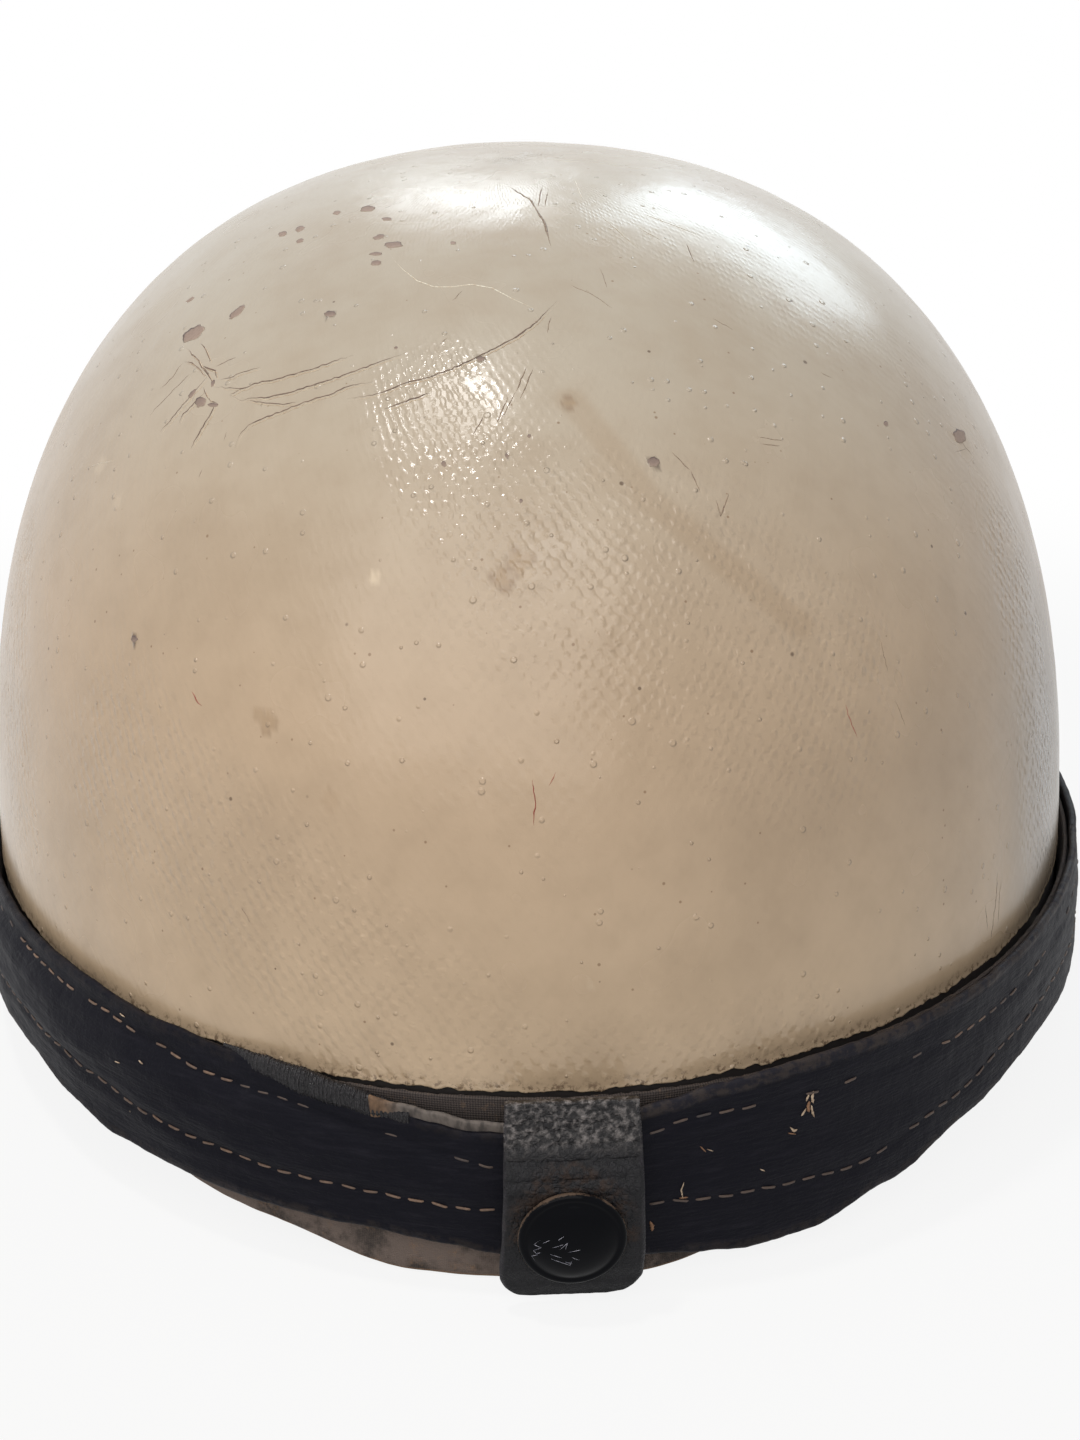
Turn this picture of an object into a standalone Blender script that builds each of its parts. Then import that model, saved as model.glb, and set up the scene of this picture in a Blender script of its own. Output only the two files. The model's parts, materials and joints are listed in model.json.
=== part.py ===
# Half-shell motorcycle helmet, in metres. Rear +Y, wearer's left +X, rim on the floor at z = 0.
# The order follows the assembly: shell, edge trim, snap tab, liner and cradle, chin straps, buckle.

import math

import bmesh
import bpy
from mathutils import Matrix, Vector

# Shell: straight skirt below the paint line, superelliptic dome above it.
SHELL_HALF_WIDTH = 0.112
SHELL_HALF_LENGTH = 0.1406
DOME_HEIGHT = 0.136
SKIRT_HEIGHT = 0.036
SHELL_WALL = 0.003
PLAN_EXPONENT = 1.96
DOME_EXPONENT = 2.4
AROUND_STEPS = 64
DOME_STEPS = 11

# Fits that pieces share.
GAP = 0.0003
HOLE_CLEARANCE = 0.0003
CUT_OVERRUN = 0.002
WELD_DISTANCE = 0.00001

# Rim binding: a folded strip over the shell's lower edge.
BINDING_THICKNESS = 0.0013
BINDING_OUTER_HEIGHT = 0.0093
BINDING_INNER_HEIGHT = 0.008
BINDING_EDGE_ROUND = 0.0005

# The rim rests at the rear and the front. It rises beside the rear, and further over the ears.
RIM_RISE = 0.0046
RIM_REST_ANGLE = math.radians(4.5)
RIM_REST_HALF_SPAN = math.radians(10.2)
RIM_RISE_SPAN = math.radians(14)
RIM_EAR_RISE = 0.0108
RIM_EAR_HALF_SPAN = math.radians(21.7)
RIM_EAR_RISE_SPAN = math.radians(36)
RIM_FRONT_ANGLE = math.radians(146)
RIM_FALL_SPAN = math.radians(40)

# Lining strip on the shell, and the stitched leather band that stands off it.
LINING_THICKNESS = 0.001
LINING_BELOW_PAINT = 0.0004
BAND_THICKNESS = 0.0018
BAND_BOTTOM_Z = 0.0072
BAND_TOP_Z = 0.0362
BAND_SAG = 0.0052
BAND_SAG_ANGLE = math.radians(9)
BAND_SAG_SPREAD = math.radians(9)

# Rivets: heads lie between the lining and the band.
RIVET_HEAD_THICKNESS = 0.0008
HARNESS_RIVET_Z = 0.031
HARNESS_SHANK_RADIUS = 0.0016
HARNESS_HEAD_RADIUS = 0.0034
HARNESS_TAIL_THICKNESS = 0.001
ANCHOR_Z = 0.0265
ANCHOR_SHANK_RADIUS = 0.002
ANCHOR_HEAD_RADIUS = 0.004
ANCHOR_TAIL_THICKNESS = 0.0011
ANCHOR_WASHER_RADIUS = 0.006

# Rear tab: sewn to the band at its top edge, snapped to a stud near its foot.
TAB_WIDTH = 0.0236
TAB_THICKNESS = 0.002
TAB_TOP_Z = 0.0368
TAB_FOLD_Z = 0.0303
TAB_FOLD_GAP = 0.0005
TAB_FOLD_STRAIGHT = 0.002
TAB_BULGE_Z = 0.0225
TAB_FOOT_Z = 0.001
TAB_CORNER_RADIUS = 0.0055

# Press stud: cap, post and socket on the tab, stud and rivet on the band.
STUD_Z = 0.0150
STUD_FLANGE_RADIUS = 0.0045
STUD_FLANGE_THICKNESS = 0.0008
STUD_NECK_RADIUS = 0.0026
STUD_BULB_RADIUS = 0.0031
STUD_BULB_HEIGHT = 0.0028
STUD_RECESS_RADIUS = 0.0021
STUD_RECESS_DEPTH = 0.0011
STUD_RIVET_RADIUS = 0.0012
STUD_RIVET_HEAD_RADIUS = 0.0018
STUD_RIVET_HEAD_THICKNESS = 0.0006
STUD_RIVET_TAIL_RADIUS = 0.0032
STUD_PLAY = 0.0006
SOCKET_RADIUS = 0.0062
SOCKET_LIP = 0.0007
POST_RADIUS = 0.0021
POST_HEAD_RADIUS = 0.003
POST_HEAD_THICKNESS = 0.0005
CAP_RADIUS = 0.0092
CAP_RIM_HEIGHT = 0.0014
CAP_DOME_HEIGHT = 0.0031
CAP_RIM_WIDTH = 0.0012
CAP_GROOVE_DEPTH = 0.0003

# Cork liner, leather headband and webbing cradle.
LINER_THICKNESS = 0.009
LINER_CLEARANCE = 0.0005
LINER_BOTTOM_Z = 0.047
LINER_AROUND_STEPS = 48
LINER_DOME_STEPS = 8
HEADBAND_HALF_WIDTH = 0.080
HEADBAND_HALF_LENGTH = 0.0995
HEADBAND_THICKNESS = 0.0018
HEADBAND_BOTTOM_Z = 0.0278
HEADBAND_HEIGHT = 0.032
CRADLE_WIDTH = 0.018
CRADLE_THICKNESS = 0.0013
CRADLE_TOP_Z = 0.141
CRADLE_LAYER_GAP = 0.0006
CRADLE_WALL_GAP = 0.0008
CRADLE_FOOT_Z = 0.0262
CRADLE_WALL_TOP_Z = 0.0372
CRADLE_LAP = 0.010
CRADLE_EXPONENT = 2.3
CRADLE_STEPS = 9

# Chin straps, stowed on edge along the inside of the rim.
STRAP_WIDTH = 0.019
STRAP_THICKNESS = 0.002
STRAP_BEND_ROOM = 0.0006
LONG_STRAP_REACH = 0.205
LONG_STRAP_RETURN = 0.066
LONG_STRAP_FOLD_RADIUS = 0.005
LONG_STRAP_CLEARANCE = 0.0004
SHORT_STRAP_REACH = 0.1118
STRAP_ROW_LENGTH = 0.0105
STRAP_HOLE_RADIUS = 0.0016
STRAP_HOLE_PITCH = 0.0095
STRAP_HOLE_FROM_TIP = 0.014
STRAP_HOLE_COUNT = 5

# Buckle at the end of the short strap, its prong, and the keeper loop.
BUCKLE_WIRE_RADIUS = 0.0011
BUCKLE_LENGTH = 0.0155
BUCKLE_SIDE_CLEARANCE = 0.0006
BUCKLE_CORNER_RADIUS = 0.0026
BUCKLE_SET = math.radians(8)
BUCKLE_LOOP_CLEARANCE = 0.0004
STRAP_LOOP_SHOULDER = 0.0004
STRAP_LOOP_WALL = 0.0013
PRONG_WIDTH = 0.0028
PRONG_THICKNESS = 0.0012
PRONG_SHOULDER = 0.0003
PRONG_RING_CLEARANCE = 0.0003
PRONG_OVERHANG = 0.0018
PRONG_SLOT_CLEARANCE = 0.0006
PRONG_SLOT_REACH = 0.0078
KEEPER_FROM_BUCKLE = 0.0238
KEEPER_LENGTH = 0.0065
KEEPER_THICKNESS = 0.0012
KEEPER_CLEARANCE = 0.0005

# Offsets from the shell's outer face, outwards, that follow from the layers above.
LINING_OUTSET = GAP
RIVET_HEAD_OUTSET = LINING_OUTSET + LINING_THICKNESS + GAP
BAND_OUTSET = RIVET_HEAD_OUTSET + RIVET_HEAD_THICKNESS + GAP
BAND_FACE_OUTSET = BAND_OUTSET + BAND_THICKNESS
TAB_ROOT_OUTSET = BAND_FACE_OUTSET + GAP
STUD_TIP_OUTSET = BAND_FACE_OUTSET + GAP + STUD_FLANGE_THICKNESS + STUD_BULB_HEIGHT
TAB_BULGE_OUTSET = STUD_TIP_OUTSET + GAP + POST_HEAD_THICKNESS + GAP
TAB_FACE_OUTSET = TAB_BULGE_OUTSET + TAB_THICKNESS
CAP_OUTSET = TAB_FACE_OUTSET + GAP
CAP_TIP_OUTSET = CAP_OUTSET + CAP_DOME_HEIGHT

# The shell's centre is moved so that the whole helmet is centred front to back.
SHELL_CENTRE_Y = (BAND_FACE_OUTSET - CAP_TIP_OUTSET) / 2
SHELL_REAR_Y = SHELL_CENTRE_Y + SHELL_HALF_LENGTH

# Insets from the shell's outer face, inwards.
KEEPER_ROOM = KEEPER_THICKNESS + KEEPER_CLEARANCE + STRAP_BEND_ROOM
STRAP_FACE_INSET = SHELL_WALL + GAP + BINDING_THICKNESS + KEEPER_ROOM
STRAP_ROUTE_INSET = STRAP_FACE_INSET + STRAP_THICKNESS / 2
PRONG_REACH = BUCKLE_LENGTH + BUCKLE_WIRE_RADIUS + PRONG_OVERHANG
PRONG_INNER_FACE = BUCKLE_WIRE_RADIUS + PRONG_RING_CLEARANCE + PRONG_THICKNESS
LONG_STRAP_STEP = (PRONG_INNER_FACE + PRONG_REACH * math.sin(BUCKLE_SET) + STRAP_THICKNESS / 2
                   + LONG_STRAP_CLEARANCE)
CRADLE_WALL_INSET = SHELL_WALL + CRADLE_WALL_GAP + CRADLE_THICKNESS / 2

CRADLE_ANGLES = {
    "cradle_strap_lengthwise": 0.0,
    "cradle_strap_left_diagonal": math.radians(60),
    "cradle_strap_right_diagonal": math.radians(-60),
}

COLOURS = {
    "paint": ((0.55, 0.42, 0.28), 0.28, 0.0),
    "leather": ((0.030, 0.026, 0.024), 0.55, 0.0),
    "worn_cloth": ((0.14, 0.10, 0.07), 0.85, 0.0),
    "lining": ((0.02, 0.018, 0.017), 0.8, 0.0),
    "steel": ((0.42, 0.40, 0.37), 0.35, 1.0),
    "cap": ((0.006, 0.006, 0.007), 0.12, 0.0),
    "cork": ((0.42, 0.25, 0.12), 0.9, 0.0),
    "headband": ((0.23, 0.11, 0.05), 0.6, 0.0),
    "webbing": ((0.47, 0.42, 0.31), 0.9, 0.0),
    "strap": ((0.05, 0.033, 0.024), 0.55, 0.0),
}


# Scene and object helpers.

def clear_scene():
    for old in list(bpy.data.objects):
        bpy.data.objects.remove(old, do_unlink=True)


def finish_material(name, finish):
    colour, roughness, metallic = COLOURS[finish]
    material = bpy.data.materials.new(name)
    material.use_nodes = True
    shader = material.node_tree.nodes["Principled BSDF"]
    shader.inputs["Base Color"].default_value = (*colour, 1.0)
    shader.inputs["Roughness"].default_value = roughness
    shader.inputs["Metallic"].default_value = metallic
    return material


def new_object(name, data, finish=None):
    piece = bpy.data.objects.new(name, data)
    bpy.context.scene.collection.objects.link(piece)
    if finish:
        data.materials.append(finish_material(name, finish))
    return piece


def mesh_object(name, shape, finish=None):
    mesh = bpy.data.meshes.new(name)
    shape.to_mesh(mesh)
    shape.free()
    mesh.shade_smooth()
    mesh.set_sharp_from_angle(angle=math.radians(35))
    return new_object(name, mesh, finish)


def solidify(piece, thickness, side):
    """side -1 grows against the face normals, 1 along them, 0 both ways."""
    shell = piece.modifiers.new("thickness", "SOLIDIFY")
    shell.thickness = thickness
    shell.offset = side
    shell.use_even_offset = True


def boolean(piece, tool, operation="DIFFERENCE"):
    step = piece.modifiers.new(tool.name, "BOOLEAN")
    step.operation = operation
    step.object = tool
    step.solver = "EXACT"
    tool.hide_render = True
    tool.display_type = "WIRE"


def pivot(name, place, parent=None):
    """An empty on a joint's axis, which carries the pieces that move there."""
    empty = bpy.data.objects.new(name, None)
    bpy.context.scene.collection.objects.link(empty)
    empty.location = Vector(place) - (Vector(parent["place"]) if parent else Vector())
    empty["place"] = tuple(place)
    empty.parent = parent
    return empty


def carry(piece, empty):
    """Hands a piece modelled in world coordinates to a joint's empty."""
    if piece.type == "CURVE":
        piece.data.transform(Matrix.Translation(-Vector(empty["place"])))
    else:
        piece.data.transform(piece.matrix_basis)
        piece.matrix_basis = Matrix()
        piece.data.transform(Matrix.Translation(-Vector(empty["place"])))
    piece.parent = empty


# Shape helpers.

def signed_power(value, power):
    return math.copysign(abs(value) ** power, value)


def oval_point(angle, half_width, half_length, z):
    """A point of a superellipse round the shell's centre; angle 0 is the rear, 90 degrees the left."""
    x = half_width * signed_power(math.sin(angle), 2 / PLAN_EXPONENT)
    y = half_length * signed_power(math.cos(angle), 2 / PLAN_EXPONENT)
    return Vector((x, SHELL_CENTRE_Y + y, z))


def wall_point(angle, outset, z):
    return oval_point(angle, SHELL_HALF_WIDTH + outset, SHELL_HALF_LENGTH + outset, z)


def wall_normal(angle, outset):
    step = math.radians(1)
    run = wall_point(angle + step, outset, 0) - wall_point(angle - step, outset, 0)
    return Vector((-run.y, run.x, 0)).normalized()


def eased(share):
    """0 to 1 with soft ends."""
    share = min(1, max(0, share))
    return share * share * (3 - 2 * share)


def trim_point(angle, outset, z):
    """A point on the skirt, where heights follow the rise of the rim and end at the paint line."""
    angle = math.remainder(angle, 2 * math.pi)
    away = abs(angle - RIM_REST_ANGLE)
    beside_rear = eased((away - RIM_REST_HALF_SPAN) / RIM_RISE_SPAN)
    over_ear = eased((away - RIM_EAR_HALF_SPAN) / RIM_EAR_RISE_SPAN)
    before_front = eased((RIM_FRONT_ANGLE - abs(angle)) / RIM_FALL_SPAN)
    rise = (RIM_RISE * beside_rear + RIM_EAR_RISE * over_ear) * before_front
    return wall_point(angle, outset, z + rise * (1 - z / SKIRT_HEIGHT))


def ring(angle_count, point_at):
    return [point_at(2 * math.pi * k / angle_count) for k in range(angle_count)]


def dome_rings(inset, lowest_z, steps, angle_count):
    """Rings of the dome whose half sizes are smaller by inset, from lowest_z up, and the top point."""
    height = DOME_HEIGHT - inset
    first = 0.0
    rings = []
    if lowest_z < SKIRT_HEIGHT:
        rings.append(ring(angle_count, lambda a: trim_point(a, -inset, lowest_z)))
    else:
        first = math.asin(((lowest_z - SKIRT_HEIGHT) / height) ** (DOME_EXPONENT / 2))
    for k in range(steps):
        tilt = first + (math.pi / 2 - first) * k / steps
        share = math.cos(tilt) ** (2 / DOME_EXPONENT)
        z = SKIRT_HEIGHT + height * math.sin(tilt) ** (2 / DOME_EXPONENT)
        half_width = (SHELL_HALF_WIDTH - inset) * share
        half_length = (SHELL_HALF_LENGTH - inset) * share
        rings.append(ring(angle_count, lambda a: oval_point(a, half_width, half_length, z)))
    return rings, Vector((0, SHELL_CENTRE_Y, SKIRT_HEIGHT + height))


def sheet(name, rings, finish, top=None, closed=True):
    """A thin surface through rows of points, its normals away from the helmet's axis."""
    shape = bmesh.new()
    rows = [[shape.verts.new(point) for point in row] for row in rings]
    count = len(rows[0])
    last = count if closed else count - 1
    for low, high in zip(rows, rows[1:]):
        for k in range(last):
            n = (k + 1) % count
            shape.faces.new((low[k], high[k], high[n], low[n]))
    if top is not None:
        tip = shape.verts.new(top)
        for k in range(last):
            shape.faces.new((rows[-1][k], tip, rows[-1][(k + 1) % count]))
    return mesh_object(name, shape, finish)


def swept_ring(name, section, finish):
    """A closed section of (outset, z) points, swept round the shell."""
    shape = bmesh.new()
    loops = []
    for k in range(AROUND_STEPS):
        angle = 2 * math.pi * k / AROUND_STEPS
        loops.append([shape.verts.new(trim_point(angle, out, z)) for out, z in section])
    for here, there in zip(loops, loops[1:] + loops[:1]):
        for k in range(len(section)):
            n = (k + 1) % len(section)
            shape.faces.new((here[k], here[n], there[n], there[k]))
    bmesh.ops.recalc_face_normals(shape, faces=shape.faces)
    return mesh_object(name, shape, finish)


def turned(name, profile, steps, place, direction, finish=None, facing=None):
    """A profile of (radius, height) points, turned about an axis through place along direction.

    Its first side looks towards facing, so that its flats lie alike wherever it stands.
    """
    shape = bmesh.new()
    points = [shape.verts.new((radius, 0, height)) for radius, height in profile]
    pairs = list(zip(points, points[1:]))
    if profile[0][0] > 0:
        pairs.append((points[-1], points[0]))
    edges = [shape.edges.new(pair) for pair in pairs]
    bmesh.ops.spin(
        shape, geom=points + edges, cent=(0, 0, 0), axis=(0, 0, 1),
        angle=2 * math.pi, steps=steps, use_merge=True,
    )
    bmesh.ops.remove_doubles(shape, verts=shape.verts, dist=WELD_DISTANCE)
    flat_middles = [
        v for v in shape.verts if v.co.xy.length < WELD_DISTANCE
        and all(abs(e.other_vert(v).co.z - v.co.z) < WELD_DISTANCE for e in v.link_edges)
    ]
    bmesh.ops.dissolve_verts(shape, verts=flat_middles)
    bmesh.ops.recalc_face_normals(shape, faces=shape.faces)
    turn = Vector(direction).to_track_quat("Z", "Y").to_matrix()
    if facing:
        up = Vector(direction).normalized()
        turn = Matrix((facing, up.cross(facing), up)).transposed()
    shape.transform(Matrix.Translation(place) @ turn.to_4x4())
    return mesh_object(name, shape, finish)


def rod(name, radius, start, end, steps=16, facing=None):
    """A plain round cutter from start to end."""
    run = Vector(end) - Vector(start)
    profile = [(0, 0), (radius, 0), (radius, run.length), (0, run.length)]
    return turned(name, profile, steps, Vector(start), run, facing=facing)


def block(name, centre, along, half_sizes):
    """A box cutter; half_sizes run along, sideways in plan, and up."""
    shape = bmesh.new()
    bmesh.ops.create_cube(shape, size=2)
    side = Vector((0, 0, 1)).cross(along)
    frame = Matrix((along, side, Vector((0, 0, 1)))).transposed()
    shape.transform(Matrix.Translation(centre) @ frame.to_4x4() @ Matrix.Diagonal((*half_sizes, 1)))
    return mesh_object(name, shape)


# Shell and edge trim.

def make_shell():
    bottom = BINDING_THICKNESS + GAP
    rings, top = dome_rings(0, bottom, DOME_STEPS, AROUND_STEPS)
    shell = sheet("shell", rings, "paint", top=top)
    solidify(shell, SHELL_WALL, -1)
    return shell


def make_binding():
    outer = GAP + BINDING_THICKNESS
    inner = -SHELL_WALL - outer
    edge = BINDING_EDGE_ROUND
    section = [
        (GAP, BINDING_THICKNESS), (GAP, BINDING_OUTER_HEIGHT), (outer, BINDING_OUTER_HEIGHT),
        (outer, edge), (outer - edge, 0), (inner + edge, 0), (inner, edge),
        (inner, BINDING_INNER_HEIGHT), (-SHELL_WALL - GAP, BINDING_INNER_HEIGHT),
        (-SHELL_WALL - GAP, BINDING_THICKNESS),
    ]
    return swept_ring("rim_binding", section, "worn_cloth")


def make_lining():
    low = BINDING_OUTER_HEIGHT + GAP
    high = SKIRT_HEIGHT - LINING_BELOW_PAINT
    rings = [ring(AROUND_STEPS, lambda a: trim_point(a, LINING_OUTSET, z)) for z in (low, high)]
    lining = sheet("band_lining", rings, "lining")
    solidify(lining, LINING_THICKNESS, 1)
    return lining


def band_top(angle):
    """The band's upper edge, which sags beside the rear tab."""
    away = (math.remainder(angle, 2 * math.pi) - BAND_SAG_ANGLE) / BAND_SAG_SPREAD
    return BAND_TOP_Z - BAND_SAG * math.exp(-away * away)


def make_band():
    low = ring(AROUND_STEPS, lambda a: trim_point(a, BAND_OUTSET, BAND_BOTTOM_Z))
    high = ring(AROUND_STEPS, lambda a: trim_point(a, BAND_OUTSET, band_top(a)))
    band = sheet("leather_band", [low, high], "leather")
    solidify(band, BAND_THICKNESS, 1)
    return band


# Rear tab and press stud.

def tab_row(y, z, half_width):
    return [Vector((-half_width, y, z)), Vector((0, y, z)), Vector((half_width, y, z))]


def make_tab(hinge):
    half = TAB_WIDTH / 2
    root_y = SHELL_REAR_Y + TAB_ROOT_OUTSET
    bulge_y = SHELL_REAR_Y + TAB_BULGE_OUTSET
    root = sheet("tab_root", [tab_row(root_y, z, half) for z in (TAB_FOLD_Z, TAB_TOP_Z)], "leather",
                 closed=False)
    solidify(root, TAB_THICKNESS, 1)

    corner_z = TAB_FOOT_Z + TAB_CORNER_RADIUS
    rows = []
    for k in range(5):
        turn = math.radians(90) * (1 - k / 4)
        z = corner_z - TAB_CORNER_RADIUS * math.sin(turn)
        rows.append(tab_row(bulge_y, z, half - TAB_CORNER_RADIUS * (1 - math.cos(turn))))
    rows.append(tab_row(bulge_y, TAB_BULGE_Z, half))
    for z in (TAB_FOLD_Z - TAB_FOLD_STRAIGHT, TAB_FOLD_Z - TAB_FOLD_GAP):
        rows.append(tab_row(root_y, z, half))
    flap = sheet("snap_tab", rows, "leather", closed=False)
    solidify(flap, TAB_THICKNESS, 1)
    hole = rod("snap_tab_hole", POST_RADIUS + HOLE_CLEARANCE,
               (0, bulge_y - CUT_OVERRUN, STUD_Z),
               (0, bulge_y + TAB_THICKNESS + CUT_OVERRUN, STUD_Z))
    boolean(flap, hole)
    carry(flap, hinge)


def rear_axis(outset):
    return Vector((0, SHELL_REAR_Y + outset, STUD_Z))


def make_snap(hinge):
    rearward = Vector((0, 1, 0))
    socket_height = TAB_BULGE_OUTSET - GAP - (BAND_FACE_OUTSET + GAP + STUD_FLANGE_THICKNESS + GAP)
    bore = STUD_BULB_RADIUS + STUD_PLAY
    socket = turned("snap_socket", [
        (bore, 0), (SOCKET_RADIUS - SOCKET_LIP, 0), (SOCKET_RADIUS, SOCKET_LIP),
        (SOCKET_RADIUS, socket_height), (bore, socket_height),
    ], 24, rear_axis(TAB_BULGE_OUTSET - GAP - socket_height), rearward, "steel")

    post_length = POST_HEAD_THICKNESS + GAP + TAB_THICKNESS + GAP + CAP_RIM_HEIGHT / 2
    post = turned("cap_post", [
        (0, 0), (POST_HEAD_RADIUS, 0), (POST_HEAD_RADIUS, POST_HEAD_THICKNESS),
        (POST_RADIUS, POST_HEAD_THICKNESS), (POST_RADIUS, post_length), (0, post_length),
    ], 16, rear_axis(TAB_BULGE_OUTSET - GAP - POST_HEAD_THICKNESS), rearward, "steel")

    seat = POST_RADIUS + HOLE_CLEARANCE
    inner_face = CAP_RADIUS - CAP_RIM_WIDTH
    crown = [(0, CAP_DOME_HEIGHT)]
    for k in range(1, 5):
        out = k / 5
        crown.append((inner_face * out, CAP_RIM_HEIGHT + (CAP_DOME_HEIGHT - CAP_RIM_HEIGHT)
                      * math.sqrt(1 - out * out)))
    cap = turned("snap_cap", crown + [
        (inner_face, CAP_RIM_HEIGHT - CAP_GROOVE_DEPTH), (inner_face + CAP_GROOVE_DEPTH, CAP_RIM_HEIGHT),
        (CAP_RADIUS - CAP_GROOVE_DEPTH, CAP_RIM_HEIGHT), (CAP_RADIUS, CAP_RIM_HEIGHT - CAP_GROOVE_DEPTH),
        (CAP_RADIUS, CAP_GROOVE_DEPTH), (CAP_RADIUS - CAP_GROOVE_DEPTH, 0), (seat, 0),
        (seat, CAP_RIM_HEIGHT / 2 + GAP), (0, CAP_RIM_HEIGHT / 2 + GAP),
    ], 32, rear_axis(CAP_OUTSET), rearward, "cap")
    for piece in (socket, post, cap):
        carry(piece, hinge)


def make_stud():
    rearward = Vector((0, 1, 0))
    bore = STUD_RIVET_RADIUS + HOLE_CLEARANCE
    height = STUD_FLANGE_THICKNESS + STUD_BULB_HEIGHT
    neck_top = STUD_FLANGE_THICKNESS + STUD_BULB_HEIGHT / 2
    turned("snap_stud", [
        (bore, 0), (STUD_FLANGE_RADIUS, 0), (STUD_FLANGE_RADIUS, STUD_FLANGE_THICKNESS),
        (STUD_NECK_RADIUS, STUD_FLANGE_THICKNESS), (STUD_NECK_RADIUS, neck_top),
        (STUD_BULB_RADIUS, (neck_top + height) / 2), (STUD_NECK_RADIUS, height),
        (STUD_RECESS_RADIUS, height), (STUD_RECESS_RADIUS, height - STUD_RECESS_DEPTH),
        (bore, height - STUD_RECESS_DEPTH),
    ], 20, rear_axis(BAND_FACE_OUTSET + GAP), rearward, "steel")

    seat = STUD_TIP_OUTSET - STUD_RECESS_DEPTH + GAP
    head = STUD_RIVET_HEAD_THICKNESS
    tail = -SHELL_WALL - GAP - ANCHOR_TAIL_THICKNESS
    turned("stud_rivet", [
        (0, tail), (STUD_RIVET_TAIL_RADIUS, tail), (STUD_RIVET_TAIL_RADIUS, -SHELL_WALL - GAP),
        (STUD_RIVET_RADIUS, -SHELL_WALL - GAP), (STUD_RIVET_RADIUS, seat),
        (STUD_RIVET_HEAD_RADIUS, seat), (STUD_RIVET_HEAD_RADIUS, seat + head), (0, seat + head),
    ], 12, rear_axis(0), rearward, "steel")
    return rod("stud_rivet_hole", bore, rear_axis(tail - CUT_OVERRUN), rear_axis(seat), 12)


# Liner, headband and cradle.

def make_liner():
    inset = SHELL_WALL + LINER_CLEARANCE
    rings, top = dome_rings(inset, LINER_BOTTOM_Z, LINER_DOME_STEPS, LINER_AROUND_STEPS)
    liner = sheet("cork_liner", rings, "cork", top=top)
    solidify(liner, LINER_THICKNESS, -1)


def make_headband():
    levels = (HEADBAND_BOTTOM_Z, HEADBAND_BOTTOM_Z + HEADBAND_HEIGHT)
    rings = [ring(LINER_AROUND_STEPS,
                  lambda a: oval_point(a, HEADBAND_HALF_WIDTH, HEADBAND_HALF_LENGTH, z)) for z in levels]
    band = sheet("headband", rings, "headband")
    solidify(band, HEADBAND_THICKNESS, -1)


def reach_along(direction, half_width, half_length):
    """How far a superellipse lies from the shell's centre in a direction of the plan."""
    across = (abs(direction.x) / half_width) ** PLAN_EXPONENT
    length = (abs(direction.y) / half_length) ** PLAN_EXPONENT
    return (across + length) ** (-1 / PLAN_EXPONENT)


def oval_side(direction, half_width, half_length):
    """The level direction along a superellipse where it crosses a direction of the plan."""
    steep_x = signed_power(direction.x / half_width, PLAN_EXPONENT - 1) / half_width
    steep_y = signed_power(direction.y / half_length, PLAN_EXPONENT - 1) / half_length
    return Vector((-steep_y, steep_x, 0)).normalized()


def cradle_side(angle, apex_z):
    """Centre points and sideways directions of half a cradle strap, from its foot to near the crown."""
    foot = wall_point(angle, -CRADLE_WALL_INSET, 0)
    outward = Vector((foot.x, foot.y - SHELL_CENTRE_Y, 0)).normalized()
    along_wall = Vector((0, 0, 1)).cross(wall_normal(angle, 0))
    across = Vector((0, 0, 1)).cross(outward)
    outset = GAP + CRADLE_THICKNESS / 2
    lap_reach = reach_along(outward, HEADBAND_HALF_WIDTH + outset, HEADBAND_HALF_LENGTH + outset)
    lap_top_z = HEADBAND_BOTTOM_Z + HEADBAND_HEIGHT
    centre = Vector((0, SHELL_CENTRE_Y, 0))
    rows = [(foot + Vector((0, 0, z)), along_wall) for z in (CRADLE_FOOT_Z, CRADLE_WALL_TOP_Z)]
    along_headband = oval_side(outward, HEADBAND_HALF_WIDTH, HEADBAND_HALF_LENGTH)
    rows.append((centre + outward * lap_reach + Vector((0, 0, lap_top_z - CRADLE_LAP)), along_headband))
    for k in range(CRADLE_STEPS):
        side = along_headband.lerp(across, k / CRADLE_STEPS).normalized()
        tilt = math.radians(90) * k / CRADLE_STEPS
        reach = lap_reach * math.cos(tilt) ** (2 / CRADLE_EXPONENT)
        z = lap_top_z + (apex_z - lap_top_z) * math.sin(tilt) ** (2 / CRADLE_EXPONENT)
        rows.append((centre + outward * reach + Vector((0, 0, z)), side))
    return rows


def make_cradle_strap(name, angle, layer):
    apex_z = CRADLE_TOP_Z - layer * (CRADLE_THICKNESS + CRADLE_LAYER_GAP)
    near = cradle_side(angle, apex_z)
    far = cradle_side(angle + math.pi, apex_z)
    crown = (Vector((0, SHELL_CENTRE_Y, apex_z)), (near[-1][1] - far[-1][1]).normalized())
    rows = near + [crown] + [(point, -side) for point, side in reversed(far)]
    half = CRADLE_WIDTH / 2
    strap = sheet(name, [[point + side * half, point - side * half] for point, side in rows],
                  "webbing", closed=False)
    solidify(strap, CRADLE_THICKNESS, 0)
    return strap


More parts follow.
